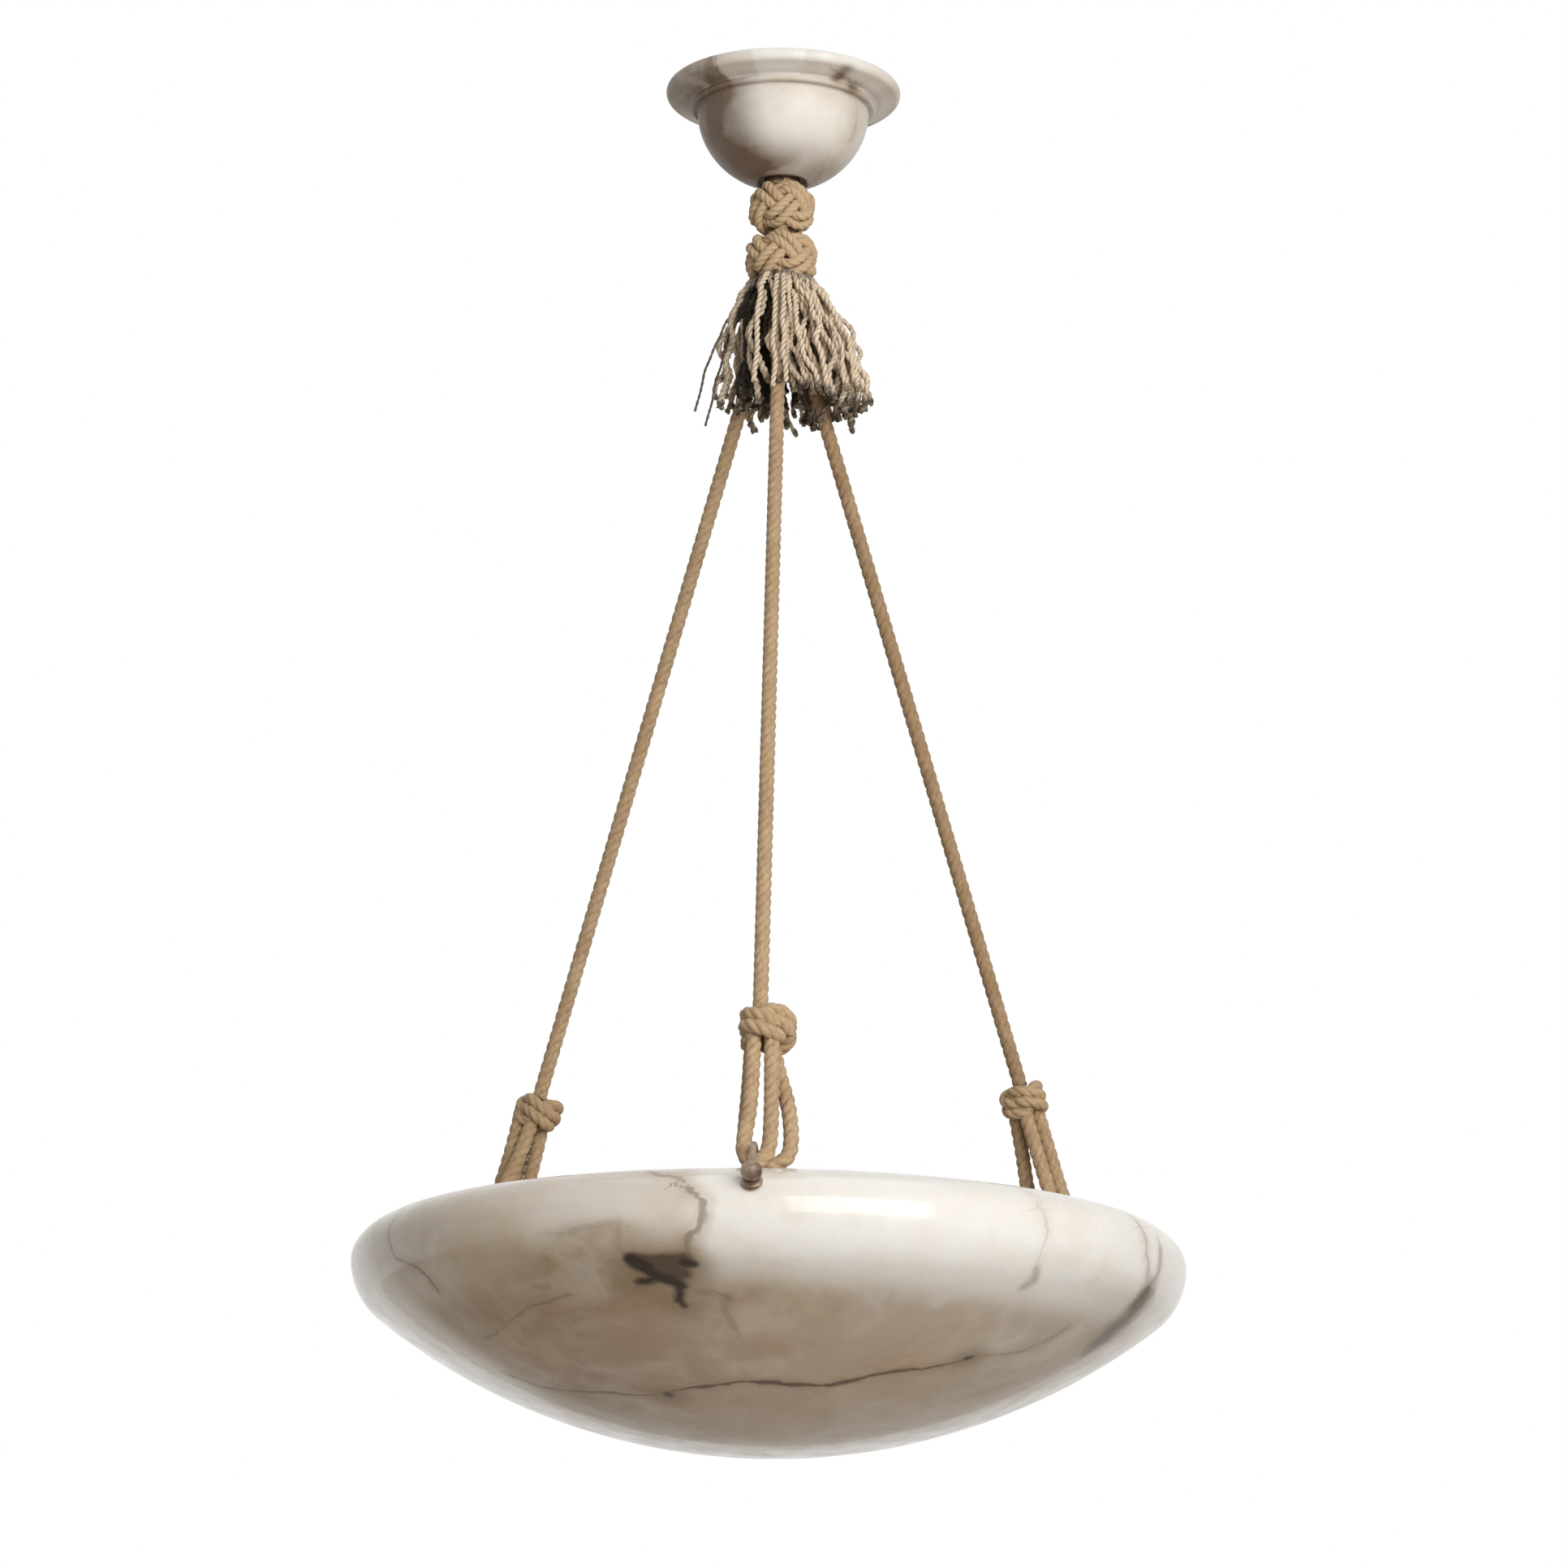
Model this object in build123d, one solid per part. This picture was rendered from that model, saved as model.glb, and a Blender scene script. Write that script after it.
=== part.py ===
from build123d import *
import os
from math import asin, atan2, cos, degrees, radians, sin, sqrt, tan

# An alabaster bowl lamp that hangs from a ceiling on three ropes.
# Millimetres, +Z up. The origin is on the ceiling, at the middle of the ceiling plate.
# Each rope hangs in a radial plane, drawn with X outward, Y sideways and Z up, and then turned.

# Clearances
slip = 0.1              # between a rod and the hole that it is pushed through
thread_gap = 0.05       # between a thread and its nut or tapped hole
link_gap = 0.3          # between two pieces that swing or slide on each other
squeeze = 0.25          # how far a tight knot bites into the ropes inside it

# Ceiling plate, hook and ring
plate_length = 78.0
plate_width = 20.0
plate_thickness = 2.5
plate_corner = 4.0
plate_hole_spacing = 60.0
plate_hole_radius = 2.6
plate_cable_hole_radius = 4.5
plate_cable_hole_x = 17.0
boss_radius = 8.0
boss_height = 5.0
hook_wire_radius = 3.0
hook_bowl_radius = 9.0
hook_neck_radius = 7.0
hook_shank_length = 14.5
hook_tip_angle = 160.0
hook_nut_width = 10.0
hook_nut_height = 5.0
ring_radius = 9.0
ring_wire_radius = 2.5

# Terminal block under the plate
block_length = 12.0
block_width = 24.0
block_height = 12.0
block_x = -17.0
block_ways = 3
block_way_pitch = 7.5
block_wire_hole_radius = 1.6
block_screw_radius = 1.5
block_screw_depth = 5.0
block_bolt_radius = 1.2
block_bolt_head_radius = 1.9
block_bolt_head_height = 2.0

# Canopy, turned from the same stone as the bowl
canopy_radius = 66.5
canopy_edge_radius = 3.8
canopy_bead_radius = 1.8
canopy_bead_reach = 50.5
canopy_cup_radius = 48.5
canopy_cup_top_z = -14.6
canopy_cup_depth = 46.0
canopy_wall = 6.5
canopy_mouth_radius = 13.5
canopy_mouth_round = 2.0
spring_width = 9.0
spring_thickness = 0.8
spring_leg = 5.5

# Rope cap that hangs on the ring
cap_lug_thickness = 4.0
cap_lug_radius = 6.5
cap_eye_radius = 3.3
cap_eye_drop = 0.2
cap_roof = 2.0
cap_wall = 1.5
cap_skirt = 5.0
cap_screw_radius = 1.2

# Ropes, knots and tassel
rope_diameter = 8.0
rope_gap = 0.1
rope_count = 3
rope_bend_radius = 40.0
rope_bend_drop = 7.0
hang_turn = -2.3
upper_head_radius = 17.0
upper_head_height = 27.5
upper_head_round = 8.0
lower_head_radius = 19.5
lower_head_height = 29.0
lower_head_round = 10.5
tassel_neck_radius = 15.0
tassel_length = 83.0
tassel_waist_drop = 38.0
tassel_waist_radius = 33.0
tassel_waist_lean = 5.0
tassel_hem_radius = 48.0
tassel_hem_depth = 40.0
tassel_hem_lean = 10.0
tassel_clearance = 0.5
lower_knot_radius = 14.5
lower_knot_height = 21.0
lower_knot_round = 8.0
loop_length = 64.0
loop_spacing = 8.7
slack_loop_radius = 9.0
slack_loop_shift = 2.6

# Bowl
bowl_radius = 225.0
bowl_widest_z = -677.0
bowl_depth = 100.0
bowl_knuckle_radius = 35.0
bowl_wall = 12.0
shoulder_width = 35.0
shoulder_height = 22.0
rim_thickness = 26.0
lip_round = 4.5
rim_groove_round = 8.0

# Rim fittings: a wire bail over the lip, held by a ball-headed pin through the rim
bail_wire_radius = 1.75
bail_rise = 10.5
bail_slack = 0.45
bail_inset = 6.0
bail_outer_bend = 10.0
bail_inner_bend = 5.0
bail_inner_reach = 13.0
bail_tip_drop = 14.0
pin_angle = 25.0
pin_radius = 2.0
pin_tail = 2.0
pin_collar_radius = 4.6
pin_collar_height = 1.2
ball_radius = 5.5
ball_seat = 4.4
washer_radius = 6.0
washer_thickness = 1.0
pin_nut_width = 7.0
pin_nut_height = 3.2

# Lamp holder spider inside the bowl
arm_width = 12.0
arm_thickness = 2.0
arm_bend = 5.0
arm_tab_below = 6.0
arm_tab_above = 12.0
arm_root = 6.5
arm_screw_reach = 13.0
arm_screw_radius = 1.5
arm_screw_length = 8.0
arm_screw_head_radius = 3.0
arm_screw_head_height = 1.8
hub_radius = 19.0
hub_height = 24.0
gland_radius = 3.5
gland_bore = 2.2
gland_depth = 8.0
gland_flange_radius = 4.8
gland_flange_height = 1.6
holder_drop = 12.0
holder_tilt = 6.0
holder_nipple_radius = 5.0
holder_nipple_depth = 7.0
holder_start = 25.0
holder_base_radius = 9.5
holder_base_length = 10.0
holder_radius = 13.5
holder_length = 42.0
bulb_cap_radius = 7.0
bulb_cap_length = 24.0
bulb_cap_gap = 0.4
bulb_stand = 2.0
bulb_neck_radius = 10.5
bulb_neck_length = 10.0
bulb_radius = 22.5
bulb_glass = 1.2

# Levels and places that follow from the sizes above
rope_radius = rope_diameter / 2
bundle_radius = (rope_diameter + rope_gap) / sqrt(3)
bundle_reach = bundle_radius + rope_radius
boss_z = -plate_thickness - boss_height
spring_z = boss_z - spring_thickness
hook_neck_rise = sqrt(2 * hook_neck_radius * hook_bowl_radius + hook_bowl_radius**2)
hook_bowl_z = -hook_shank_length - hook_neck_rise
hook_seat_z = hook_bowl_z - hook_bowl_radius
ring_z = hook_seat_z + hook_wire_radius + ring_wire_radius + link_gap - ring_radius
ring_seat_z = ring_z - ring_radius
cap_eye_z = ring_seat_z - cap_eye_drop
cap_top_z = cap_eye_z - cap_eye_radius - slip
rope_top_z = cap_top_z - cap_roof
cap_reach = bundle_reach + slip + cap_wall
upper_head_z = rope_top_z - cap_skirt
lower_head_z = upper_head_z - upper_head_height
tassel_z = lower_head_z - lower_head_height
rope_bend_z = tassel_z - rope_bend_drop
bowl_bottom_z = bowl_widest_z - bowl_depth
crown_radius = ((bowl_radius - bowl_knuckle_radius)**2 + bowl_depth**2 - bowl_knuckle_radius**2) / (
    2 * (bowl_depth - bowl_knuckle_radius))
crown_z = bowl_bottom_z + crown_radius
lip_radius = bowl_radius - shoulder_width
lip_z = bowl_widest_z + shoulder_height
hang_point = Vector(lip_radius - bail_inset, 0, lip_z + bail_rise)
rope_lean = atan2(hang_point.X - bundle_radius, rope_bend_z - hang_point.Z)
rope_up = Vector(-sin(rope_lean), 0, cos(rope_lean))
rope_out = Vector(cos(rope_lean), 0, sin(rope_lean))
sideways = Vector(0, 1, 0)
pin_seat = Vector(
    lip_radius + shoulder_width * cos(radians(pin_angle)), 0,
    bowl_widest_z + shoulder_height * sin(radians(pin_angle)))
pin_out = Vector(
    cos(radians(pin_angle)) / shoulder_width, 0, sin(radians(pin_angle)) / shoulder_height).normalized()
pin_up = Vector(-pin_out.Z, 0, pin_out.X)
tab_centre = pin_seat - pin_out * (rim_thickness + washer_thickness + arm_thickness / 2)
arm_corner = tab_centre + pin_up * arm_tab_above
hub_z = arm_corner.Z - arm_thickness / 2
holder_z = hub_z - holder_drop

FROM_BELOW = (Align.CENTER, Align.CENTER, Align.MIN)


def lathe(profile):
    """A piece turned about the lamp's axis, from a profile of radius and height."""
    return revolve(Plane.XZ * profile, axis=Axis.Z)


def rod(path, radius):
    """A round rod along a path."""
    return sweep(Plane(origin=path @ 0, z_dir=path % 0) * Circle(radius), path=path)


def disc(radius, low, high):
    """A round bar on the axis between two heights."""
    return Pos(0, 0, low) * Cylinder(radius, high - low, align=FROM_BELOW)


def hexagon(width, low, high):
    """A hexagonal bar on the axis between two heights, measured across its flats."""
    return Pos(0, 0, low) * extrude(RegularPolygon(width / 2, 6, major_radius=False), amount=high - low)


def block(low, high):
    """A box between two opposite corners."""
    size = [b - a for a, b in zip(low, high)]
    return Pos(*low) * Box(*size, align=(Align.MIN, Align.MIN, Align.MIN))


def barrel(bore, reach, low, high, rounding):
    """The body of a knot: a ring with well rounded outer edges."""
    profile = Pos((bore + reach) / 2, (low + high) / 2) * Rectangle(reach - bore, high - low)
    outer = profile.vertices().group_by(Axis.X)[-1]
    return lathe(fillet(outer, rounding))


def turned(shape, place):
    """A shape from the radial plane, turned to one of the three ropes."""
    return Rot(0, 0, hang_turn - 90 + place * 360 / rope_count) * shape


def turned_between(shape, place):
    """A shape from the radial plane, turned to halfway between two ropes."""
    return Rot(0, 0, hang_turn - 90 + (place + 0.5) * 360 / rope_count) * shape


def ceiling_plate():
    """A steel strap with two screw holes, a cable hole and a tapped boss for the hook."""
    outline = RectangleRounded(plate_length, plate_width, plate_corner)
    for side in (-1, 1):
        outline -= Pos(side * plate_hole_spacing / 2, 0) * Circle(plate_hole_radius)
    outline -= Pos(plate_cable_hole_x, 0) * Circle(plate_cable_hole_radius)
    plate = Pos(0, 0, -plate_thickness) * extrude(outline, amount=plate_thickness)
    plate += disc(boss_radius, boss_z, -plate_thickness)
    plate -= disc(hook_wire_radius + thread_gap, boss_z, 0)
    for y in block_bolt_places():
        plate -= Pos(block_x, y) * disc(block_bolt_radius + thread_gap, -plate_thickness, 0)
    return plate


def ceiling_hook():
    """A round steel hook: a straight shank, a bent neck and an open bowl under the shank."""
    neck_end = Vector(hook_neck_radius, 0, hook_neck_rise).normalized() * hook_bowl_radius
    neck_angle = degrees(atan2(hook_neck_rise, hook_neck_radius))
    path = Wire([
        Edge.make_line((0, 0, 0), (0, 0, -hook_shank_length)),
        Edge.make_three_point_arc(
            (0, 0, -hook_shank_length),
            (hook_neck_radius * (1 - cos(radians(neck_angle / 2))), 0,
             -hook_shank_length - hook_neck_radius * sin(radians(neck_angle / 2))),
            (neck_end.X, 0, hook_bowl_z + neck_end.Z)),
        Edge.make_three_point_arc(
            (neck_end.X, 0, hook_bowl_z + neck_end.Z),
            (0, 0, hook_seat_z),
            (hook_bowl_radius * cos(radians(hook_tip_angle)), 0,
             hook_bowl_z + hook_bowl_radius * sin(radians(hook_tip_angle)))),
    ])
    return rod(path, hook_wire_radius) + Pos(path @ 1) * Sphere(hook_wire_radius)


def hook_lock_nut():
    """The nut that locks the hook and clamps the canopy spring to the boss."""
    low = spring_z - hook_nut_height
    return hexagon(hook_nut_width, low, spring_z) - disc(hook_wire_radius + thread_gap, low, spring_z)


def canopy_bore():
    """The radius inside the canopy's rim, where the spring bears."""
    return canopy_cup_radius - canopy_wall


def canopy_spring():
    """A spring steel strap whose turned-down ends press on the inside of the canopy."""
    reach = canopy_bore()
    strip = block((-spring_width / 2, -reach, spring_z), (spring_width / 2, reach, boss_z))
    shell = disc(reach, spring_z - spring_leg, boss_z) - disc(
        reach - spring_thickness, spring_z - spring_leg, boss_z)
    legs = shell & block(
        (-spring_width / 2, -reach, spring_z - spring_leg), (spring_width / 2, reach, boss_z))
    spring = (strip & disc(reach, spring_z, boss_z)) + legs
    return spring - disc(hook_wire_radius + slip, spring_z, boss_z)


def canopy():
    """The stone cover: a moulded flange on the ceiling, a bead and a deep cup with a round mouth."""
    edge = canopy_edge_radius
    cup_z = canopy_cup_top_z
    flange_turn = (canopy_radius - edge, -edge)
    under_flange = (canopy_radius - edge, -2 * edge)
    bead_top = (canopy_bead_reach, cup_z + 2 * canopy_bead_radius)
    profile = make_face([
        Line((0, 0), (canopy_radius - edge, 0)),
        CenterArc(flange_turn, edge, 90, -180),
        Line(under_flange, bead_top),
        CenterArc((canopy_bead_reach, cup_z + canopy_bead_radius), canopy_bead_radius, 90, -180),
        Line((canopy_bead_reach, cup_z), (canopy_cup_radius, cup_z)),
        EllipticalCenterArc((0, cup_z), canopy_cup_radius, canopy_cup_depth, start_angle=0, arc_size=-90),
        Line((0, cup_z - canopy_cup_depth), (0, 0)),
    ])
    profile -= Pos(0, cup_z) * Ellipse(canopy_bore(), canopy_cup_depth - canopy_wall)
    profile -= Pos(0, cup_z / 2) * Rectangle(2 * canopy_bore(), -cup_z)
    profile -= Pos(0, cup_z - canopy_cup_depth / 2) * Rectangle(2 * canopy_mouth_radius, canopy_cup_depth)
    mouth = profile.vertices().group_by(Axis.X)[0]
    return lathe(fillet(mouth, canopy_mouth_round))


def block_way_places():
    """The sideways places of the terminal block's ways."""
    return [(way - (block_ways - 1) / 2) * block_way_pitch for way in range(block_ways)]


def block_bolt_places():
    """The sideways places of the two bolts that hold the block, between its ways."""
    return [-block_way_pitch / 2, block_way_pitch / 2]


def terminal_block():
    """The plastic block that joins the house wires to the lamp's flex."""
    low = -plate_thickness - block_height
    body = block(
        (block_x - block_length / 2, -block_width / 2, low),
        (block_x + block_length / 2, block_width / 2, -plate_thickness))
    wire_z = -plate_thickness - block_height / 2
    for y in block_way_places():
        body -= Pos(block_x, y, wire_z) * Rot(0, 90, 0) * Cylinder(block_wire_hole_radius, block_length)
        body -= Pos(block_x, y) * disc(block_screw_radius + thread_gap, low, low + block_screw_depth)
    for y in block_bolt_places():
        body -= Pos(block_x, y) * disc(block_bolt_radius + slip, low, -plate_thickness)
        body -= Pos(block_x, y) * disc(block_bolt_head_radius + slip, low, low + block_bolt_head_height)
    return body


def terminal_screws():
    """The brass screws that clamp the wires in the block."""
    low = -plate_thickness - block_height
    return Compound([
        Pos(block_x, y) * disc(block_screw_radius, low, low + block_screw_depth)
        for y in block_way_places()])


def terminal_bolts():
    """The two bolts that hold the block under the plate."""
    low = -plate_thickness - block_height
    bolt = disc(block_bolt_radius, low, 0) + disc(block_bolt_head_radius, low, low + block_bolt_head_height)
    return Compound([Pos(block_x, y) * bolt for y in block_bolt_places()])


def hanging_ring():
    """The welded ring that links the hook and the rope cap."""
    return Pos(0, 0, ring_z) * Rot(0, 90, 0) * Torus(ring_radius, ring_wire_radius)


def rope_cap():
    """The brass cap that grips the three rope ends, with a lug for the ring."""
    lug = disc(cap_lug_radius, -cap_lug_thickness / 2, cap_lug_thickness / 2)
    lug += block(
        (-cap_lug_radius, -cap_lug_radius, -cap_lug_thickness / 2),
        (cap_lug_radius, 0, cap_lug_thickness / 2))
    lug -= disc(cap_eye_radius, -cap_lug_thickness, cap_lug_thickness)
    cap = Pos(0, 0, cap_eye_z) * Rot(90, 0, 0) * lug + disc(cap_reach, upper_head_z, cap_top_z)
    cap -= disc(cap_reach - cap_wall, upper_head_z, rope_top_z)
    for place in range(rope_count):
        cap -= turned(cap_screw_bar(cap_screw_radius + thread_gap), place)
    return cap


def cap_screw_bar(radius):
    """The line of one grub screw, from the rope's side to the outside of the cap."""
    length = cap_reach - bundle_reach
    middle_z = (upper_head_z + rope_top_z) / 2
    return Pos(bundle_reach + length / 2, 0, middle_z) * Rot(0, 90, 0) * Cylinder(radius, length)


def cap_grub_screws():
    """The grub screws that pinch the ropes in the cap."""
    return Compound([turned(cap_screw_bar(cap_screw_radius), place) for place in range(rope_count)])


def upper_turks_head():
    """The round ornamental knot under the canopy, drawn tight on the three ropes."""
    return barrel(bundle_reach - squeeze, upper_head_radius, lower_head_z, upper_head_z, upper_head_round)


def lower_turks_head():
    """The wider ornamental knot that carries the tassel."""
    return barrel(bundle_reach - squeeze, lower_head_radius, tassel_z, lower_head_z, lower_head_round)


def tassel():
    """The skirt of yarns round the ropes, blown a little to one side."""
    hem_z = tassel_z - tassel_length
    waist_z = tassel_z - tassel_waist_drop
    skirt = loft([
        Pos(0, 0, tassel_z) * Circle(tassel_neck_radius),
        Pos(tassel_waist_lean, 0, waist_z) * Circle(tassel_waist_radius),
        Pos(tassel_hem_lean, 0, hem_z) * Ellipse(tassel_hem_radius, tassel_hem_depth),
    ])
    inside = bundle_reach + tassel_clearance
    flare = tan(rope_lean) * tassel_length
    hollow = make_face(Polyline(
        (0, tassel_z), (inside, tassel_z), (inside + flare, hem_z), (0, hem_z), close=True))
    return skirt - lathe(hollow)


def rope():
    """One rope, straight down inside the knots and then straight out to its lower knot."""
    end = hang_point + rope_up * (loop_length + lower_knot_height)
    path = FilletPolyline(
        (bundle_radius, 0, rope_top_z), (bundle_radius, 0, rope_bend_z), end, radius=rope_bend_radius)
    return rod(path, rope_radius)


def lower_knot():
    """The knot where a rope divides into its two loops."""
    seat = Plane(origin=hang_point + rope_up * loop_length, x_dir=rope_out, z_dir=rope_up)
    body = Rectangle(lower_knot_radius, lower_knot_height, align=(Align.MIN, Align.MIN))
    outer = body.vertices().group_by(Axis.X)[-1]
    return seat * lathe(fillet(outer, lower_knot_round))


def loop(offset, radius, shift, rise):
    """A bight of rope that hangs from the lower knot, in a plane across the rope."""
    plane = Plane(origin=hang_point + rope_out * offset, x_dir=sideways, z_dir=rope_out)
    path = plane * Wire([
        Edge.make_line((shift - radius, loop_length), (shift - radius, rise)),
        Edge.make_three_point_arc((shift - radius, rise), (shift, rise - radius), (shift + radius, rise)),
        Edge.make_line((shift + radius, rise), (shift + radius, loop_length)),
    ])
    return rod(path, rope_radius)


def outer_loop():
    """The loop that is drawn tight on the bail, on the outer side."""
    offset = loop_spacing / 2
    return loop(offset, bail_wire_radius + rope_radius + bail_slack, 0, -offset * tan(rope_lean))


def inner_loop():
    """The second, slacker loop, beside the first on the inner side."""
    offset = -loop_spacing / 2
    room = slack_loop_radius - rope_radius - bail_wire_radius - bail_slack
    rise = sqrt(room**2 - slack_loop_shift**2)
    return loop(offset, slack_loop_radius, slack_loop_shift, rise - offset * tan(rope_lean))


def pin_plane():
    """The plane on the rim's outside where a pin stands: X sideways, Y up the stone, Z outward."""
    return Plane(origin=pin_seat, x_dir=sideways, z_dir=pin_out)


def bowl():
    """The stone bowl: a shallow dish with a rounded, turned-in rim, drilled for the three pins."""
    knuckle = Vector(bowl_radius - bowl_knuckle_radius, bowl_widest_z)
    meeting_angle = degrees(atan2(knuckle.Y - crown_z, knuckle.X))
    profile = make_face([
        CenterArc((0, crown_z), crown_radius, -90, meeting_angle + 90),
        CenterArc(knuckle, bowl_knuckle_radius, meeting_angle, -meeting_angle),
        EllipticalCenterArc((lip_radius, bowl_widest_z), shoulder_width, shoulder_height,
                            start_angle=0, arc_size=90),
        Line((lip_radius, lip_z), (0, lip_z)),
        Line((0, lip_z), (0, bowl_bottom_z)),
    ])
    facet = pin_seat - pin_out * rim_thickness
    facet_slope = pin_up.X / pin_up.Z
    lip_corner = (facet.X + (lip_z - facet.Z) * facet_slope, lip_z)
    deep_z = bowl_bottom_z
    deep_corner = (facet.X + (deep_z - facet.Z) * facet_slope, deep_z)
    hollow = make_face(Polyline((0, lip_z), lip_corner, deep_corner, (0, deep_z), close=True))
    hollow &= Pos(0, crown_z) * Circle(crown_radius - bowl_wall)
    groove = hollow.vertices().sort_by(Axis.X)[-1]
    profile -= fillet(groove, rim_groove_round)
    lip = profile.vertices().sort_by_distance((*lip_corner, 0))[0]
    stone = lathe(fillet(lip, lip_round))
    drill = pin_plane() * disc(pin_radius + slip, -rim_thickness - rim_groove_round, ball_radius)
    for place in range(rope_count):
        stone -= turned(drill, place)
    return stone


def rim_bail():
    """A bronze wire with an eye on the rim's outside, bent over the lip to carry the loops."""
    eye_reach = pin_radius + slip + bail_wire_radius
    eye_centre = pin_seat + pin_out * bail_wire_radius
    start = eye_centre + pin_up * eye_reach
    top_reach = start.X + (hang_point.Z - start.Z) * pin_up.X / pin_up.Z
    inner_reach = hang_point.X - bail_inner_reach
    path = FilletPolyline(
        start, (top_reach, 0, hang_point.Z), (inner_reach, 0, hang_point.Z),
        (inner_reach, 0, hang_point.Z - bail_tip_drop), radius=[bail_outer_bend, bail_inner_bend])
    wire = rod(path, bail_wire_radius) + Pos(path @ 1) * Sphere(bail_wire_radius)
    eye = pin_plane() * Pos(0, 0, bail_wire_radius) * Torus(eye_reach, bail_wire_radius)
    return wire + eye


def ball_pin():
    """The pin through the rim: a ball head with a flat collar outside and a threaded end inside."""
    collar_z = 2 * bail_wire_radius
    tail_z = -rim_thickness - washer_thickness - arm_thickness - pin_nut_height - pin_tail
    pin = disc(pin_radius, tail_z, collar_z)
    pin += disc(pin_collar_radius, collar_z, collar_z + pin_collar_height)
    pin += Pos(0, 0, collar_z + pin_collar_height + ball_seat) * Sphere(ball_radius)
    return pin_plane() * pin


def rim_washers():
    """The felt washers between the stone and the spider's arms."""
    high = -rim_thickness
    low = high - washer_thickness
    washer = pin_plane() * (disc(washer_radius, low, high) - disc(pin_radius + slip, low, high))
    return Compound([turned(washer, place) for place in range(rope_count)])


def rim_nuts():
    """The nuts that draw the pins tight against the arms."""
    high = -rim_thickness - washer_thickness - arm_thickness
    low = high - pin_nut_height
    nut = pin_plane() * (hexagon(pin_nut_width, low, high) - disc(pin_radius + thread_gap, low, high))
    return Compound([turned(nut, place) for place in range(rope_count)])


def spider_arm():
    """A brass strip from the hub to a pin, with its end bent flat against the rim."""
    path = FilletPolyline(
        tab_centre - pin_up * arm_tab_below, arm_corner, (arm_root, 0, arm_corner.Z), radius=arm_bend)
    section = Plane(origin=path @ 0, x_dir=sideways, z_dir=path % 0) * Rectangle(arm_width, arm_thickness)
    arm = sweep(section, path=path)
    arm -= Plane(origin=tab_centre, x_dir=sideways, z_dir=pin_out) * Cylinder(
        pin_radius + slip, 2 * arm_thickness)
    return arm - Pos(arm_screw_reach, 0, arm_corner.Z) * Cylinder(arm_screw_radius + slip, 2 * arm_thickness)


def arm_screws():
    """The screws that hold the arms on the hub."""
    head_z = hub_z + arm_thickness
    screw = disc(arm_screw_radius, hub_z - arm_screw_length, head_z)
    screw += disc(arm_screw_head_radius, head_z, head_z + arm_screw_head_height)
    placed = Pos(arm_screw_reach, 0, 0) * screw
    return Compound([turned(placed, place) for place in range(rope_count)])


def holder_plane():
    """The plane at the lamp's axis that a lamp holder points away from: Z outward along the bulb."""
    tilt = radians(holder_tilt)
    return Plane(origin=(0, 0, holder_z), x_dir=sideways, z_dir=(cos(tilt), 0, sin(tilt)))


def lamp_hub():
    """The turned brass hub that the arms carry and the holders screw into."""
    hub = disc(hub_radius, hub_z - hub_height, hub_z)
    bore = holder_plane() * disc(
        holder_nipple_radius + thread_gap, hub_radius - holder_nipple_depth, 2 * hub_radius)
    tap = Pos(arm_screw_reach, 0, 0) * disc(
        arm_screw_radius + thread_gap, hub_z - arm_screw_length, hub_z)
    for place in range(rope_count):
        hub -= turned_between(bore, place)
        hub -= turned(tap, place)
    return hub - disc(gland_radius + thread_gap, hub_z - gland_depth, hub_z)


def cable_gland():
    """The bush in the top of the hub where the flex enters."""
    gland = disc(gland_radius, hub_z - gland_depth, hub_z)
    gland += disc(gland_flange_radius, hub_z, hub_z + gland_flange_height)
    return gland - disc(gland_bore, hub_z - gland_depth, hub_z + gland_flange_height)


def lamp_holder():
    """A lamp holder: a threaded nipple, a base and a deep socket."""
    mouth = holder_start + holder_length
    holder = disc(holder_nipple_radius, hub_radius - holder_nipple_depth, holder_start)
    holder += disc(holder_base_radius, holder_start, holder_start + holder_base_length)
    holder += disc(holder_radius, holder_start + holder_base_length, mouth)
    holder -= disc(bulb_cap_radius + bulb_cap_gap, mouth + bulb_stand - bulb_cap_length - link_gap, mouth)
    return holder_plane() * holder


def bulb_cap():
    """The bulb's screw cap, seated in the holder."""
    high = holder_start + holder_length + bulb_stand
    return holder_plane() * disc(bulb_cap_radius, high - bulb_cap_length, high)


def bulb_shape(shrink, low):
    """The outline of the bulb's glass, drawn in by a wall: a neck and a ball."""
    neck = bulb_neck_radius - shrink
    ball = bulb_radius - shrink
    middle = low + bulb_neck_length + sqrt(bulb_radius**2 - bulb_neck_radius**2)
    neck_angle = degrees(asin(neck / ball))
    shoulder_z = middle - ball * cos(radians(neck_angle))
    return make_face([
        Line((0, low), (neck, low)),
        Line((neck, low), (neck, shoulder_z)),
        CenterArc((0, middle), ball, neck_angle - 90, 180 - neck_angle),
        Line((0, middle + ball), (0, low)),
    ])


def bulb_glass_shell():
    """The bulb's opal glass, open at the neck where the cap closes it."""
    low = holder_start + holder_length + bulb_stand
    return holder_plane() * lathe(bulb_shape(0, low) - bulb_shape(bulb_glass, low))


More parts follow.
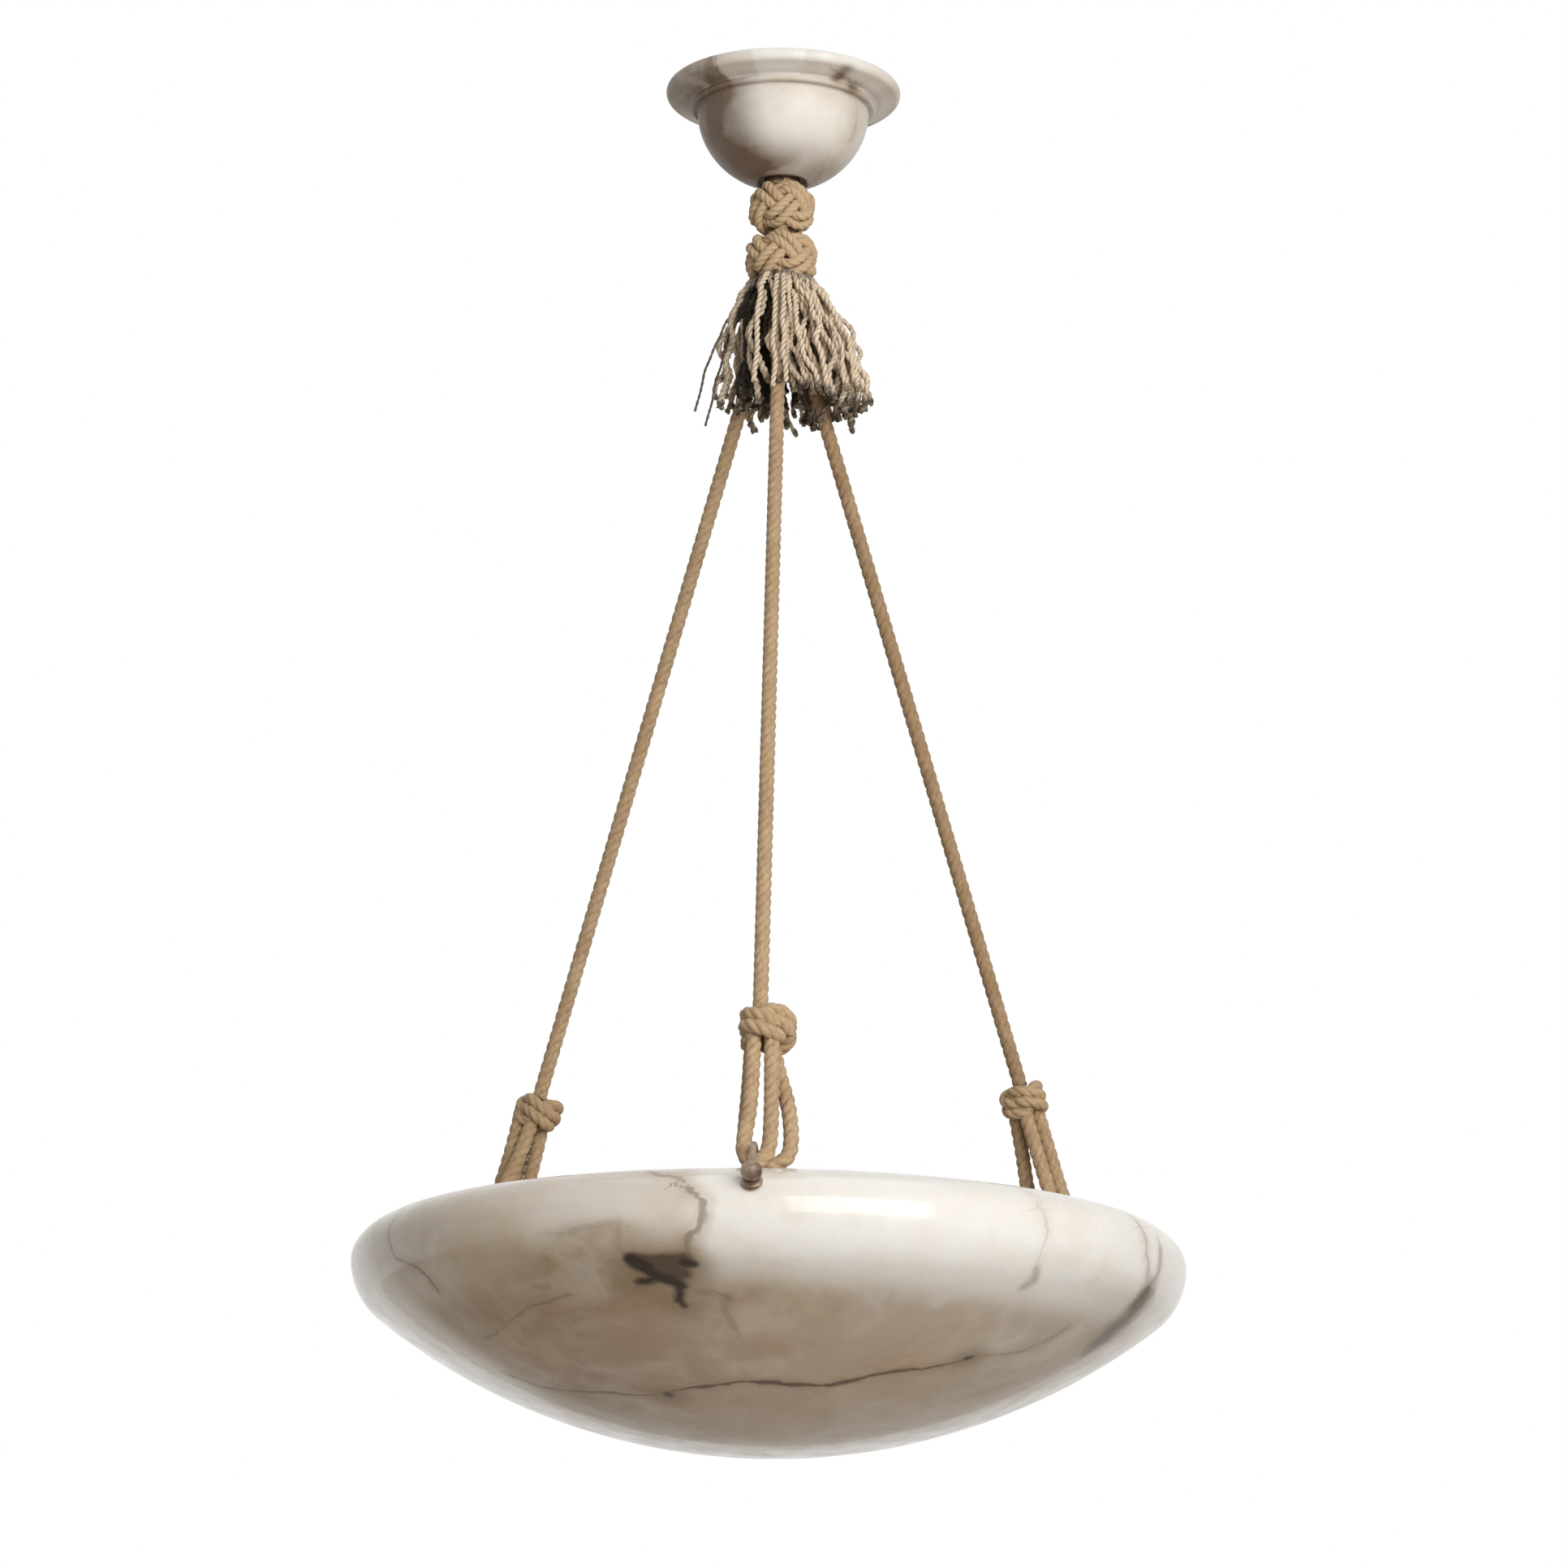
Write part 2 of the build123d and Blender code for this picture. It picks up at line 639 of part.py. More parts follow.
pieces = {
    "ceiling_plate": ceiling_plate(),
    "ceiling_hook": ceiling_hook(),
    "hook_lock_nut": hook_lock_nut(),
    "canopy_spring": canopy_spring(),
    "canopy": canopy(),
    "terminal_block": terminal_block(),
    "terminal_screws": terminal_screws(),
    "terminal_bolts": terminal_bolts(),
    "hanging_ring": hanging_ring(),
    "rope_cap": rope_cap(),
    "cap_grub_screws": cap_grub_screws(),
    "upper_turks_head": upper_turks_head(),
    "lower_turks_head": lower_turks_head(),
    "tassel": tassel(),
    "bowl": bowl(),
    "rim_washers": rim_washers(),
    "rim_nuts": rim_nuts(),
    "lamp_hub": lamp_hub(),
    "arm_screws": arm_screws(),
    "cable_gland": cable_gland(),
}
by_each_rope = {
    "rope": rope(),
    "lower_knot": lower_knot(),
    "outer_loop": outer_loop(),
    "inner_loop": inner_loop(),
    "rim_bail": rim_bail(),
    "ball_pin": ball_pin(),
    "spider_arm": spider_arm(),
}
between_ropes = {
    "lamp_holder": lamp_holder(),
    "bulb_cap": bulb_cap(),
    "bulb_glass": bulb_glass_shell(),
}
for place in range(rope_count):
    for name, shape in by_each_rope.items():
        pieces[f"{name}_{place + 1}"] = turned(shape, place)
    for name, shape in between_ropes.items():
        pieces[f"{name}_{place + 1}"] = turned_between(shape, place)

os.makedirs("parts", exist_ok=True)
for name, shape in pieces.items():
    export_step(shape, f"parts/{name}.step")

rope_run = (hang_point + rope_up * (loop_length + lower_knot_height)) - Vector(bundle_radius, 0, rope_bend_z)
print("rope bend radius", rope_bend_radius, "lean", round(degrees(rope_lean), 2))
print("rope length", round(rope_top_z - rope_bend_z + rope_run.length, 1))
print("rope volume over its section", round(by_each_rope["rope"].volume / (Circle(rope_radius).area), 1))
print("pivots", round(hook_seat_z, 3), round(ring_seat_z, 3))
print("levels: knot", round(upper_head_z, 2), round(lower_head_z, 2), round(tassel_z, 2),
      "lip", lip_z, "hang", [round(v, 2) for v in hang_point])
print("hub top", round(hub_z, 3), "holder axis", round(holder_z, 3))
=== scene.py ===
import math
import bpy
import numpy as np
from mathutils import Matrix, Vector, noise


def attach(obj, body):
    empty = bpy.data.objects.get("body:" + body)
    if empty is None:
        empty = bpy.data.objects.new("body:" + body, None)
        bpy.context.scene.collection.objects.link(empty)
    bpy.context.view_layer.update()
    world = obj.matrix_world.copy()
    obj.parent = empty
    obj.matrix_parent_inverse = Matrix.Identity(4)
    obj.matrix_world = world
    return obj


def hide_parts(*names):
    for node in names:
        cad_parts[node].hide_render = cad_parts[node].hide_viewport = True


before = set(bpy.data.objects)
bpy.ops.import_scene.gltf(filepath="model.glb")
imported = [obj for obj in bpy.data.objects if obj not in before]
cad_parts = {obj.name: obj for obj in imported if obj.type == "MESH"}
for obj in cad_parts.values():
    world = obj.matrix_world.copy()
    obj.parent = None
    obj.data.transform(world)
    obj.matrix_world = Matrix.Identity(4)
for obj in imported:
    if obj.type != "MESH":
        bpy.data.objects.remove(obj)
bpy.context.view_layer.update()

MM = 0.001


# Ceiling plate, hook, lock nut, canopy spring, terminal bolts and hanging ring.
# Zinc-plated steel: stamped, bent from round bar or turned, and screwed or hung together under the ceiling.
# The plating has dulled unevenly, with a soft grey bloom.
def node(tree, kind, inputs=None, **settings):
    """A shader node with its settings; an input is a value or another node's socket."""
    made = tree.nodes.new("ShaderNode" + kind)
    for key, value in settings.items():
        setattr(made, key, value)
    for key, value in (inputs or {}).items():
        feed(tree, made.inputs[key], value)
    return made


def feed(tree, socket, value):
    """Links a socket into an input, or sets the input's value."""
    if isinstance(value, bpy.types.NodeSocket):
        tree.links.new(value, socket)
    elif value is not None:
        socket.default_value = value


def mix(tree, factor, a, b):
    """A mix of two colours."""
    made = node(tree, "Mix", data_type="RGBA")
    for number, value in ((0, factor), (6, a), (7, b)):
        feed(tree, made.inputs[number], value)
    return made.outputs[2]


def calc(tree, operation, *values, clamp=False):
    """One step of arithmetic."""
    made = node(tree, "Math", operation=operation, use_clamp=clamp)
    for socket, value in zip(made.inputs, values):
        feed(tree, socket, value)
    return made.outputs[0]


def ease(tree, value, low, high, to_low=0.0, to_high=1.0):
    """A value eased from one range to another."""
    made = node(tree, "MapRange", {
        "Value": value, "From Min": low, "From Max": high, "To Min": to_low, "To Max": to_high},
        interpolation_type="SMOOTHSTEP")
    return made.outputs["Result"]


def cloud(tree, where, scale, detail=4.0, roughness=0.55):
    """A value of drifting noise."""
    made = node(tree, "TexNoise", {
        "Vector": where, "Scale": scale, "Detail": detail, "Roughness": roughness})
    return made.outputs["Fac"]


def group_of(name, inputs, outputs):
    """An empty shader node group with named sockets, and its two end nodes."""
    tree = bpy.data.node_groups.new(name, "ShaderNodeTree")
    for label, kind in inputs:
        tree.interface.new_socket(label, in_out="INPUT", socket_type="NodeSocket" + kind)
    for label, kind in outputs:
        tree.interface.new_socket(label, in_out="OUTPUT", socket_type="NodeSocket" + kind)
    return tree, tree.nodes.new("NodeGroupInput").outputs, tree.nodes.new("NodeGroupOutput").inputs


def finish(name, **constants):
    """A material with a plain shader whose constant values are set on its own sockets."""
    material = bpy.data.materials.new(name)
    material.use_nodes = True
    shader = material.node_tree.nodes["Principled BSDF"]
    for label, value in constants.items():
        shader.inputs[label.replace("_", " ")].default_value = value
    return material, material.node_tree, shader


def lay_on(tree, shader, group, values):
    """Places a node group in a material with its own values, on the shader's colour and roughness."""
    surface = tree.nodes.new("ShaderNodeGroup")
    surface.node_tree = group
    for label, value in values.items():
        surface.inputs[label].default_value = (*value, 1) if isinstance(value, tuple) else value
    feed(tree, shader.inputs["Base Color"], surface.outputs["Colour"])
    feed(tree, shader.inputs["Roughness"], surface.outputs["Roughness"])
    return surface.outputs


def relief(tree, shader, height, strength, depth):
    """A fine relief from a height that changes over the surface, its depth in millimetres."""
    bump = node(tree, "Bump", {"Height": height, "Strength": strength, "Distance": depth * MM})
    feed(tree, shader.inputs["Normal"], bump.outputs["Normal"])


def dress(material, *names):
    """Gives CAD nodes a material."""
    for name in names:
        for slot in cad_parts[name].material_slots:
            slot.material = material


aged, given, put = group_of(
    "aged_surface",
    [("Colour", "Color"), ("Aged colour", "Color"), ("Scale", "Float"), ("Smooth", "Float"),
     ("Rough", "Float")],
    [("Colour", "Color"), ("Roughness", "Float"), ("Height", "Float")])
where = node(aged, "TexCoord").outputs["Object"]
bloom = cloud(aged, where, given["Scale"], detail=6.0)
fine = cloud(aged, where, calc(aged, "MULTIPLY", given["Scale"], 9.0), detail=3.0)
patches = ease(aged, calc(aged, "ADD", bloom, calc(aged, "MULTIPLY", fine, 0.25)), 0.48, 0.82)
feed(aged, put["Colour"], mix(aged, patches, given["Colour"], given["Aged colour"]))
wear = node(aged, "MapRange", {"Value": patches, "To Min": given["Smooth"], "To Max": given["Rough"]})
feed(aged, put["Roughness"], wear.outputs["Result"])
feed(aged, put["Height"], fine)


def aged_finish(name, colour, aged_colour, scale, smooth, rough, bump, **constants):
    """A material whose colour and roughness follow the aged surface."""
    material, tree, shader = finish(name, **constants)
    surface = lay_on(tree, shader, aged, {
        "Colour": colour, "Aged colour": aged_colour, "Scale": scale, "Smooth": smooth, "Rough": rough})
    relief(tree, shader, surface["Height"], bump, 0.2)
    return material


zinc = aged_finish(
    "zinc_plate", (0.56, 0.57, 0.58), (0.38, 0.38, 0.38), scale=130.0, smooth=0.28, rough=0.52, bump=0.25,
    Metallic=1.0)
dress(zinc, "ceiling_plate", "ceiling_hook", "hook_lock_nut", "canopy_spring", "terminal_bolts",
      "hanging_ring")


# Terminal block and its clamp screws.
# A moulded white plastic block under the plate, with small turned brass screws in its ways.
# The plastic has yellowed a little, and the screws are satin.
white_plastic = aged_finish(
    "white_plastic", (0.80, 0.79, 0.74), (0.72, 0.69, 0.61), scale=90.0, smooth=0.38, rough=0.5, bump=0.12)
satin_brass = aged_finish(
    "satin_brass", (0.70, 0.50, 0.22), (0.42, 0.28, 0.12), scale=70.0, smooth=0.24, rough=0.46, bump=0.2,
    Metallic=1.0)
dress(white_plastic, "terminal_block")
dress(satin_brass, "terminal_screws")


# Rope cap and its grub screws.
# A turned brass cup that hangs on the ring by its lug; three steel screws in its wall grip the ropes.
# The brass is painted dark brown as the shade in the canopy's mouth, and the screws are blackened.
dark_brass_and_shade = aged_finish(
    "dark_brass_and_shade", (0.24, 0.165, 0.085), (0.10, 0.07, 0.045), scale=70.0, smooth=0.36, rough=0.58, bump=0.2,
    Metallic=1.0)
black_steel = aged_finish(
    "black_steel", (0.07, 0.07, 0.075), (0.04, 0.038, 0.036), scale=130.0, smooth=0.35, rough=0.55, bump=0.25,
    Metallic=1.0)
# The cap's dark brown stands for the shadow in the canopy's mouth: painted shade.
dress(dark_brass_and_shade, "rope_cap")
dress(black_steel, "cap_grub_screws")


# Canopy.
# Turned and polished alabaster: a rounded flange against the ceiling, a bead, and a cup open at the bottom.
# A spring strap inside grips it; the stone is milky in the middle and brown at one side, with painted shade
# on the bead and towards the cup's left, right edge and bottom, and a painted highlight on the flange's edge.
def lathe_mesh(name, profile, turns, wobble):
    """A turned piece from a closed profile of radius and height, with a hand-made wobble in millimetres."""
    wobble_at = 0.2
    profile = np.array(profile) * MM
    angle = np.arange(turns) * 2 * math.pi / turns
    radius, height = profile[:, 0, None], profile[:, 1, None]
    verts = np.stack([
        radius * np.sin(angle), -radius * np.cos(angle), height + 0 * angle], axis=-1).reshape(-1, 3)
    for number, point in enumerate(verts):
        drift = noise.noise(point * 9.0) + 0.4 * noise.noise(point * 31.0)
        verts[number] = point * (1 + wobble * drift * MM / wobble_at * np.array((1, 1, 0)))
    rows = len(profile)
    row, turn = np.meshgrid(np.arange(rows), np.arange(turns), indexing="ij")
    after, along = (row + 1) % rows, (turn + 1) % turns
    faces = np.stack([
        row * turns + turn, row * turns + along, after * turns + along, after * turns + turn],
        axis=-1).reshape(-1, 4)
    mesh = bpy.data.meshes.new(name)
    mesh.from_pydata(verts.tolist(), [], faces.tolist())
    mesh.validate()
    mesh.update()
    mesh.shade_smooth()
    return mesh


def arc(centre, reach, start, end, steps):
    """Points of radius and height round an arc or a part of an ellipse, in degrees."""
    turns = [math.radians(start + (end - start) * step / steps) for step in range(steps + 1)]
    return [(centre[0] + reach[0] * math.cos(turn), centre[1] + reach[1] * math.sin(turn)) for turn in turns]


def place(name, mesh, body, slot, *nodes):
    """A new piece in the scene, on its body, in place of its CAD nodes."""
    piece = bpy.data.objects.new(name, mesh)
    bpy.context.scene.collection.objects.link(piece)
    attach(piece, body)
    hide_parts(*nodes)
    return piece


def vector_layer(mesh, name, values):
    """Stores a vector at each vertex for the material to read."""
    layer = mesh.attributes.new(name, "FLOAT_VECTOR", "POINT")
    layer.data.foreach_set("vector", np.asarray(values, dtype=np.float32).ravel())


def stored(tree, name):
    """The three values of a vector that is stored at each vertex."""
    vector = node(tree, "Attribute", attribute_name=name).outputs["Vector"]
    return node(tree, "SeparateXYZ", {0: vector}).outputs


def vector_step(tree, operation, *values, scale=None):
    """One step of vector arithmetic; a measure comes out as a value."""
    made = node(tree, "VectorMath", operation=operation)
    for socket, value in zip(made.inputs, values):
        feed(tree, socket, value)
    if scale is not None:
        feed(tree, made.inputs["Scale"], scale)
    return made.outputs["Value" if operation in ("DOT_PRODUCT", "DISTANCE", "LENGTH") else "Vector"]


def veins(points, lines):
    """Signed distance in millimetres to the nearest of a few drawn lines, its half width and strength."""
    inner_spot = (0, 0, -432.0)
    found = np.zeros((len(points), 3))
    found[:, 0] = 99.0
    nearest = np.full(len(points), 1e9)
    for line, width, strength in lines:
        line = np.array(line)
        for a, b in zip(line[:-1], line[1:]):
            step = b - a
            t = np.clip(((points - a) @ step) / (step @ step), 0, 1)
            middle = a + t[:, None] * step
            offset = points - middle
            reach = np.linalg.norm(offset, axis=1)
            side = np.sign(np.einsum("ij,ij->i", np.cross(step, middle - inner_spot), offset))
            closer = reach - width < nearest
            nearest[closer] = (reach - width)[closer]
            found[closer, 0] = (side * reach)[closer]
            found[closer, 1] = width
            found[closer, 2] = strength
    found[:, 2] *= np.clip((12.0 - nearest) / 6.0, 0, 1)
    found[:, 0] = np.clip(found[:, 0], -30.0, 30.0)
    return found


stone, given, put = group_of(
    "alabaster",
    [("Milk", "Color"), ("Cream", "Color"), ("Brown and shade", "Color"), ("Vein colour", "Color"),
     ("Stain colour", "Color"), ("Cloud scale", "Float"), ("Smooth", "Float"), ("Rough", "Float")],
    [("Colour", "Color"), ("Roughness", "Float")])
where = node(stone, "TexCoord").outputs["Object"]
drift = node(stone, "TexNoise", {"Vector": where, "Scale": 16.0, "Detail": 3.0}).outputs["Color"]
bent = vector_step(stone, "ADD", where, vector_step(stone, "MULTIPLY", drift, (0.09, 0.09, 0.09)))
haze = cloud(stone, bent, given["Cloud scale"], detail=6.0)
colour = mix(stone, ease(stone, haze, 0.36, 0.68), given["Milk"], given["Cream"])
shades = stored(stone, "shades")
grain = cloud(stone, bent, 30.0, detail=5.0)
for amount, tint, strength in (
        (shades[0], given["Brown and shade"], 0.9), (shades[1], (0.46, 0.295, 0.205, 1), 0.8),
        (shades[2], (0.91, 0.90, 0.875, 1), 0.95)):
    spread = calc(stone, "MULTIPLY", amount, ease(stone, grain, 0.3, 0.62, 0.55, 1.0))
    colour = mix(stone, calc(stone, "MULTIPLY", spread, strength, clamp=True), colour, tint)
streaks = node(stone, "Mapping", {"Vector": bent, "Scale": (1.0, 1.0, 5.0)}).outputs[0]
threads = cloud(stone, streaks, 14.0, detail=7.0, roughness=0.62)
thread = ease(stone, calc(stone, "ABSOLUTE", calc(stone, "SUBTRACT", threads, 0.5)), 0.0, 0.018, 1.0, 0.0)
gate = ease(stone, cloud(stone, where, 9.0, detail=2.0), 0.5, 0.66)
thread = calc(stone, "MULTIPLY", calc(stone, "MULTIPLY", thread, gate), 0.07)
colour = mix(stone, thread, colour, given["Vein colour"])
wander = calc(stone, "SUBTRACT", cloud(stone, where, 42.0, detail=3.0, roughness=0.5), 0.5)
wander = calc(stone, "MULTIPLY", wander, 12.0)
thick = ease(stone, cloud(stone, where, 70.0, detail=2.0), 0.34, 0.7, 0.45, 1.5)
for layer in ("vein_a", "vein_b"):
    vein = stored(stone, layer)
    away = calc(stone, "ABSOLUTE", calc(stone, "ADD", vein[0], wander))
    width = calc(stone, "MAXIMUM", calc(stone, "MULTIPLY", vein[1], thick), 0.05)
    core = ease(stone, calc(stone, "DIVIDE", away, width), 0.25, 1.15, 1.0, 0.0)
    halo = ease(stone, calc(stone, "SUBTRACT", away, width), 0.0, 6.0, 0.55, 0.0)
    colour = mix(stone, calc(stone, "MULTIPLY", halo, vein[2], clamp=True), colour, given["Stain colour"])
    colour = mix(stone, calc(stone, "MULTIPLY", core, vein[2], clamp=True), colour, given["Vein colour"])
feed(stone, put["Colour"], colour)
polish = ease(stone, cloud(stone, where, 60.0, detail=5.0), 0.3, 0.7, given["Smooth"], given["Rough"])
feed(stone, put["Roughness"], polish)


def alabaster_finish(name, milk, cream, brown_and_shade, cloud_scale, smooth, rough, coat):
    """Polished alabaster: waxy and a little translucent."""
    material, tree, shader = finish(
        name, Subsurface_Weight=0.2, Subsurface_Radius=(1.0, 0.72, 0.5), Subsurface_Scale=0.006,
        Coat_Weight=coat, Coat_Roughness=0.06, IOR=1.52, Specular_IOR_Level=0.25)
    lay_on(tree, shader, stone, {
        "Milk": milk, "Cream": cream, "Brown and shade": brown_and_shade, "Vein colour": (0.10, 0.055, 0.025),
        "Stain colour": (0.40, 0.285, 0.17), "Cloud scale": cloud_scale, "Smooth": smooth, "Rough": rough})
    return material


def direction_of(points):
    """Degrees round the lamp's axis from the near side, to the right."""
    return np.degrees(np.arctan2(points[:, 0], -points[:, 1]))


def ramp(values, low, high):
    """Values eased from 0 to 1 between two limits."""
    t = np.clip((values - low) / (high - low), 0, 1)
    return t * t * (3 - 2 * t)


def soft_patches(turn, height, *drawn):
    """Soft patches together, stains and one painted highlight among them: the amount of each, its middle
    direction and height, and its reach in both.
    """
    return sum(amount * np.exp(-((turn - middle[0]) / reach[0])**2 - ((height - middle[1]) / reach[1])**2)
               for amount, middle, reach in drawn)


CUP, CUP_DEPTH, CUP_TOP, CUP_WALL = 48.5, 44.8, -14.6, 6.5
EDGE_OUT, EDGE, BEAD_OUT, BEAD, MOUTH_OUT, MOUTH = 62.7, 3.8, 50.5, 1.8, 14.9, 1.4
canopy_profile = (
    [(CUP - CUP_WALL, 0.0)] + arc((EDGE_OUT, -EDGE), (EDGE, EDGE), 90, -90, 16)
    + [(58.0, -9.2), (54.0, -10.3)]
    + arc((BEAD_OUT, CUP_TOP + BEAD), (BEAD, BEAD), 75, -90, 10) + [(49.6, CUP_TOP)]
    + arc((0.0, CUP_TOP), (CUP, CUP_DEPTH), 0, -73.0, 40)
    + arc((MOUTH_OUT, -55.7), (MOUTH, MOUTH), -70, -180, 6)
    + arc((0.0, CUP_TOP), (CUP - CUP_WALL, CUP_DEPTH - CUP_WALL), -71.0, 0, 24) + [(CUP - CUP_WALL, -8.0)])
canopy_mesh = lathe_mesh("canopy_stone", canopy_profile, 320, 0.25)
spots = np.array([v.co for v in canopy_mesh.vertices]) / MM
turn, height, across = direction_of(spots), spots[:, 2], spots[:, 0]
on_flange = height > -11.5
# Painted shade on the bead and at the cup's top just under it.
bead_shade = ramp(-height, 9.0, 10.0) * ramp(height, -17, -14.5) * (1 - ramp(np.abs(turn), 80, 120))
cloudy = np.array([noise.noise(Vector(spot) * 0.06) for spot in spots])
# On the flange the brown at the left is the stone's own; on the cup it is partly the stone's brown and partly
# painted shade, towards the left, the right edge and the bottom.
brown_and_shade = np.where(on_flange, 0.8 * ramp(-turn, 35, 38), 1.45 * ramp(0.3 * (-height - 25) - across, 8, 38))
brown_and_shade *= ramp(turn, -135, -80) * (1 + 0.6 * cloudy * ramp(-turn, 50, 80))
low_down = 1.25 * ramp(-height, 37, 58) * (0.6 + 0.4 * ramp(-across, -20, 16))
brown_and_shade += np.where(on_flange, 0.06 * ramp(-turn, 14, 17), low_down + 0.2 * ramp(across, 33, 42))
brown_and_shade += soft_patches(
    turn, height, (1.2, (34, -9), (4.5, 3)), (0.8, (48, -12), (6, 2.5)), (0.4, (-48, -9), (5, 3)),
    (0.12, (-20, -10), (14, 2)), (0.3, (150, -30), (30, 20)))
brown_and_shade += bead_shade * (0.24 + 0.1 * ramp(turn, 45, 60)) + 0.1 * (height < -14.5) * ramp(height, -30, -15)
white_flange = ramp(turn, -17, -14) * (1 - 0.5 * ramp(turn, 9, 12)) * ramp(-turn, -80, -60)
white_flange += 0.3 * ramp(turn, -36, -34) * ramp(-turn, 14, 17)
white_cup = soft_patches(turn, height, (0.7, (8, -34), (32, 16)))
white_cup += 0.4 * ramp(cloudy, 0, 0.4) * ramp(-turn, 60, 90)
# The pale patch at (21, -4) on the flange's rounded edge is a painted highlight; the bead's painted shade
# lessens the white.
white = np.where(on_flange, white_flange, white_cup) + soft_patches(turn, height, (0.5, (21, -4), (5, 3)))
white *= (1 - 0.35 * bead_shade) * (1 - ramp(brown_and_shade, 0.0, 1.3))
vector_layer(canopy_mesh, "shades", np.clip(np.stack([brown_and_shade, 0.1 * brown_and_shade, white], axis=1), 0, 1.8))
vector_layer(canopy_mesh, "vein_a", veins(spots, [
    ([(31, -49, -9), (35, -42, -11), (40, -32, -13)], 2.4, 0.35),
    ([(42, -24, -18), (41, -21, -28), (36, -18, -38)], 0.9, 0.2)]))
vector_layer(canopy_mesh, "vein_b", veins(spots, [
    ([(-38, -53, -4), (-36, -48, -11), (-34, -34, -14)], 1.0, 0.4),
    ([(50, 40, -8), (42, 24, -20), (30, 20, -42)], 1.0, 0.6)]))
# The canopy's brown is made dark enough to carry the painted shade as well.
canopy_stone = alabaster_finish(
    "canopy_alabaster", (0.84, 0.80, 0.74), (0.70, 0.61, 0.50), (0.15, 0.105, 0.066),
    cloud_scale=16.0, smooth=0.42, rough=0.55, coat=0.1)
canopy_mesh.materials.append(canopy_stone)
place("canopy_stone", canopy_mesh, "ceiling_mount", "alabaster", "canopy")


# Suspension ropes.
# Three taut laid ropes of natural fibre, from the cap through both knots and out to their lower knots.
# Each has three strands twisted to the right, with painted shade in the grooves between them.
ROPE, ROPE_LAY = 8.0 * MM, 17.5 * MM
ROPE_TURNS = [math.radians(-2.3 - 90 + 120 * number) for number in range(3)]
fibre, given, put = group_of(
    "twisted_fibre",
    [("Light", "Color"), ("Deep", "Color"), ("Groove", "Color"), ("Streaks", "Float")],
    [("Colour", "Color"), ("Roughness", "Float"), ("Height", "Float")])
lay = node(fibre, "UVMap", uv_map="lay").outputs["UV"]
part = node(fibre, "SeparateXYZ", {0: lay}).outputs
slant = calc(fibre, "ADD", part[0], calc(fibre, "MULTIPLY", part[1], 90.0))
streak_at = node(fibre, "CombineXYZ", {
    0: calc(fibre, "MULTIPLY", slant, given["Streaks"]),
    1: calc(fibre, "MULTIPLY", part[1], 260.0)}).outputs[0]
streak = cloud(fibre, streak_at, 1.0, detail=3.0)
dusty = cloud(fibre, node(fibre, "TexCoord").outputs["Object"], 55.0)
tone = calc(fibre, "MULTIPLY", node(fibre, "Attribute", attribute_name="tone").outputs["Fac"], 0.45)
tone = calc(fibre, "ADD", tone, calc(fibre, "MULTIPLY", streak, 0.5))
tone = calc(fibre, "ADD", tone, calc(fibre, "MULTIPLY", dusty, 0.3))
colour = mix(fibre, ease(fibre, tone, 0.42, 0.86), given["Deep"], given["Light"])
# Painted shade in the grooves: each strand is darkened on its side towards the rope's middle.
groove_shade = ease(fibre, calc(fibre, "ABSOLUTE", calc(fibre, "SUBTRACT", part[0], 0.5)), 0.16, 0.36, 0.8, 0.0)
groove_shade = calc(fibre, "MULTIPLY", groove_shade, ease(fibre, tone, 0.1, 0.4))
feed(fibre, put["Colour"], mix(fibre, groove_shade, colour, given["Groove"]))
feed(fibre, put["Roughness"], ease(fibre, streak, 0.3, 0.7, 0.68, 0.9))
feed(fibre, put["Height"], streak)


def fibre_finish(name, light, deep, groove, streaks, bump):
    """A rope or yarn material, from the twisted fibre."""
    material, tree, shader = finish(name, Sheen_Weight=0.12, Sheen_Roughness=0.5, Specular_IOR_Level=0.2)
    surface = lay_on(tree, shader, fibre, {
        "Light": light, "Deep": deep, "Groove": groove, "Streaks": streaks})
    relief(tree, shader, surface["Height"], bump, 0.5)
    return material


def route(name, points):
    """The smooth line of a rope's route, read from a spline with the route's points."""
    curve = bpy.data.curves.new(name, "CURVE")
    curve.dimensions = "3D"
    curve.resolution_u = 32
    spline = curve.splines.new("NURBS")
    spline.points.add(len(points) - 1)
    for spot, point in zip(spline.points, points):
        spot.co = (*point, 1)
    spline.order_u = 3
    spline.use_endpoint_u = True
    holder = bpy.data.objects.new(name, curve)
    bpy.context.scene.collection.objects.link(holder)
    mesh = bpy.data.meshes.new_from_object(holder)
    line = np.array([v.co for v in mesh.vertices])
    bpy.data.objects.remove(holder)
    bpy.data.curves.remove(curve)
    bpy.data.meshes.remove(mesh)
    return line


def evenly(line, step):
    """A line's points spaced evenly along it."""
    gaps = np.linalg.norm(np.diff(line, axis=0), axis=1)
    along = np.concatenate([[0], np.cumsum(gaps)])
    at = np.linspace(0, along[-1], max(4, int(along[-1] / step)))
    return np.stack([np.interp(at, along, line[:, axis]) for axis in range(3)], axis=1)


def unit(vectors):
    """Vectors of length one."""
    return vectors / np.linalg.norm(vectors, axis=-1, keepdims=True)


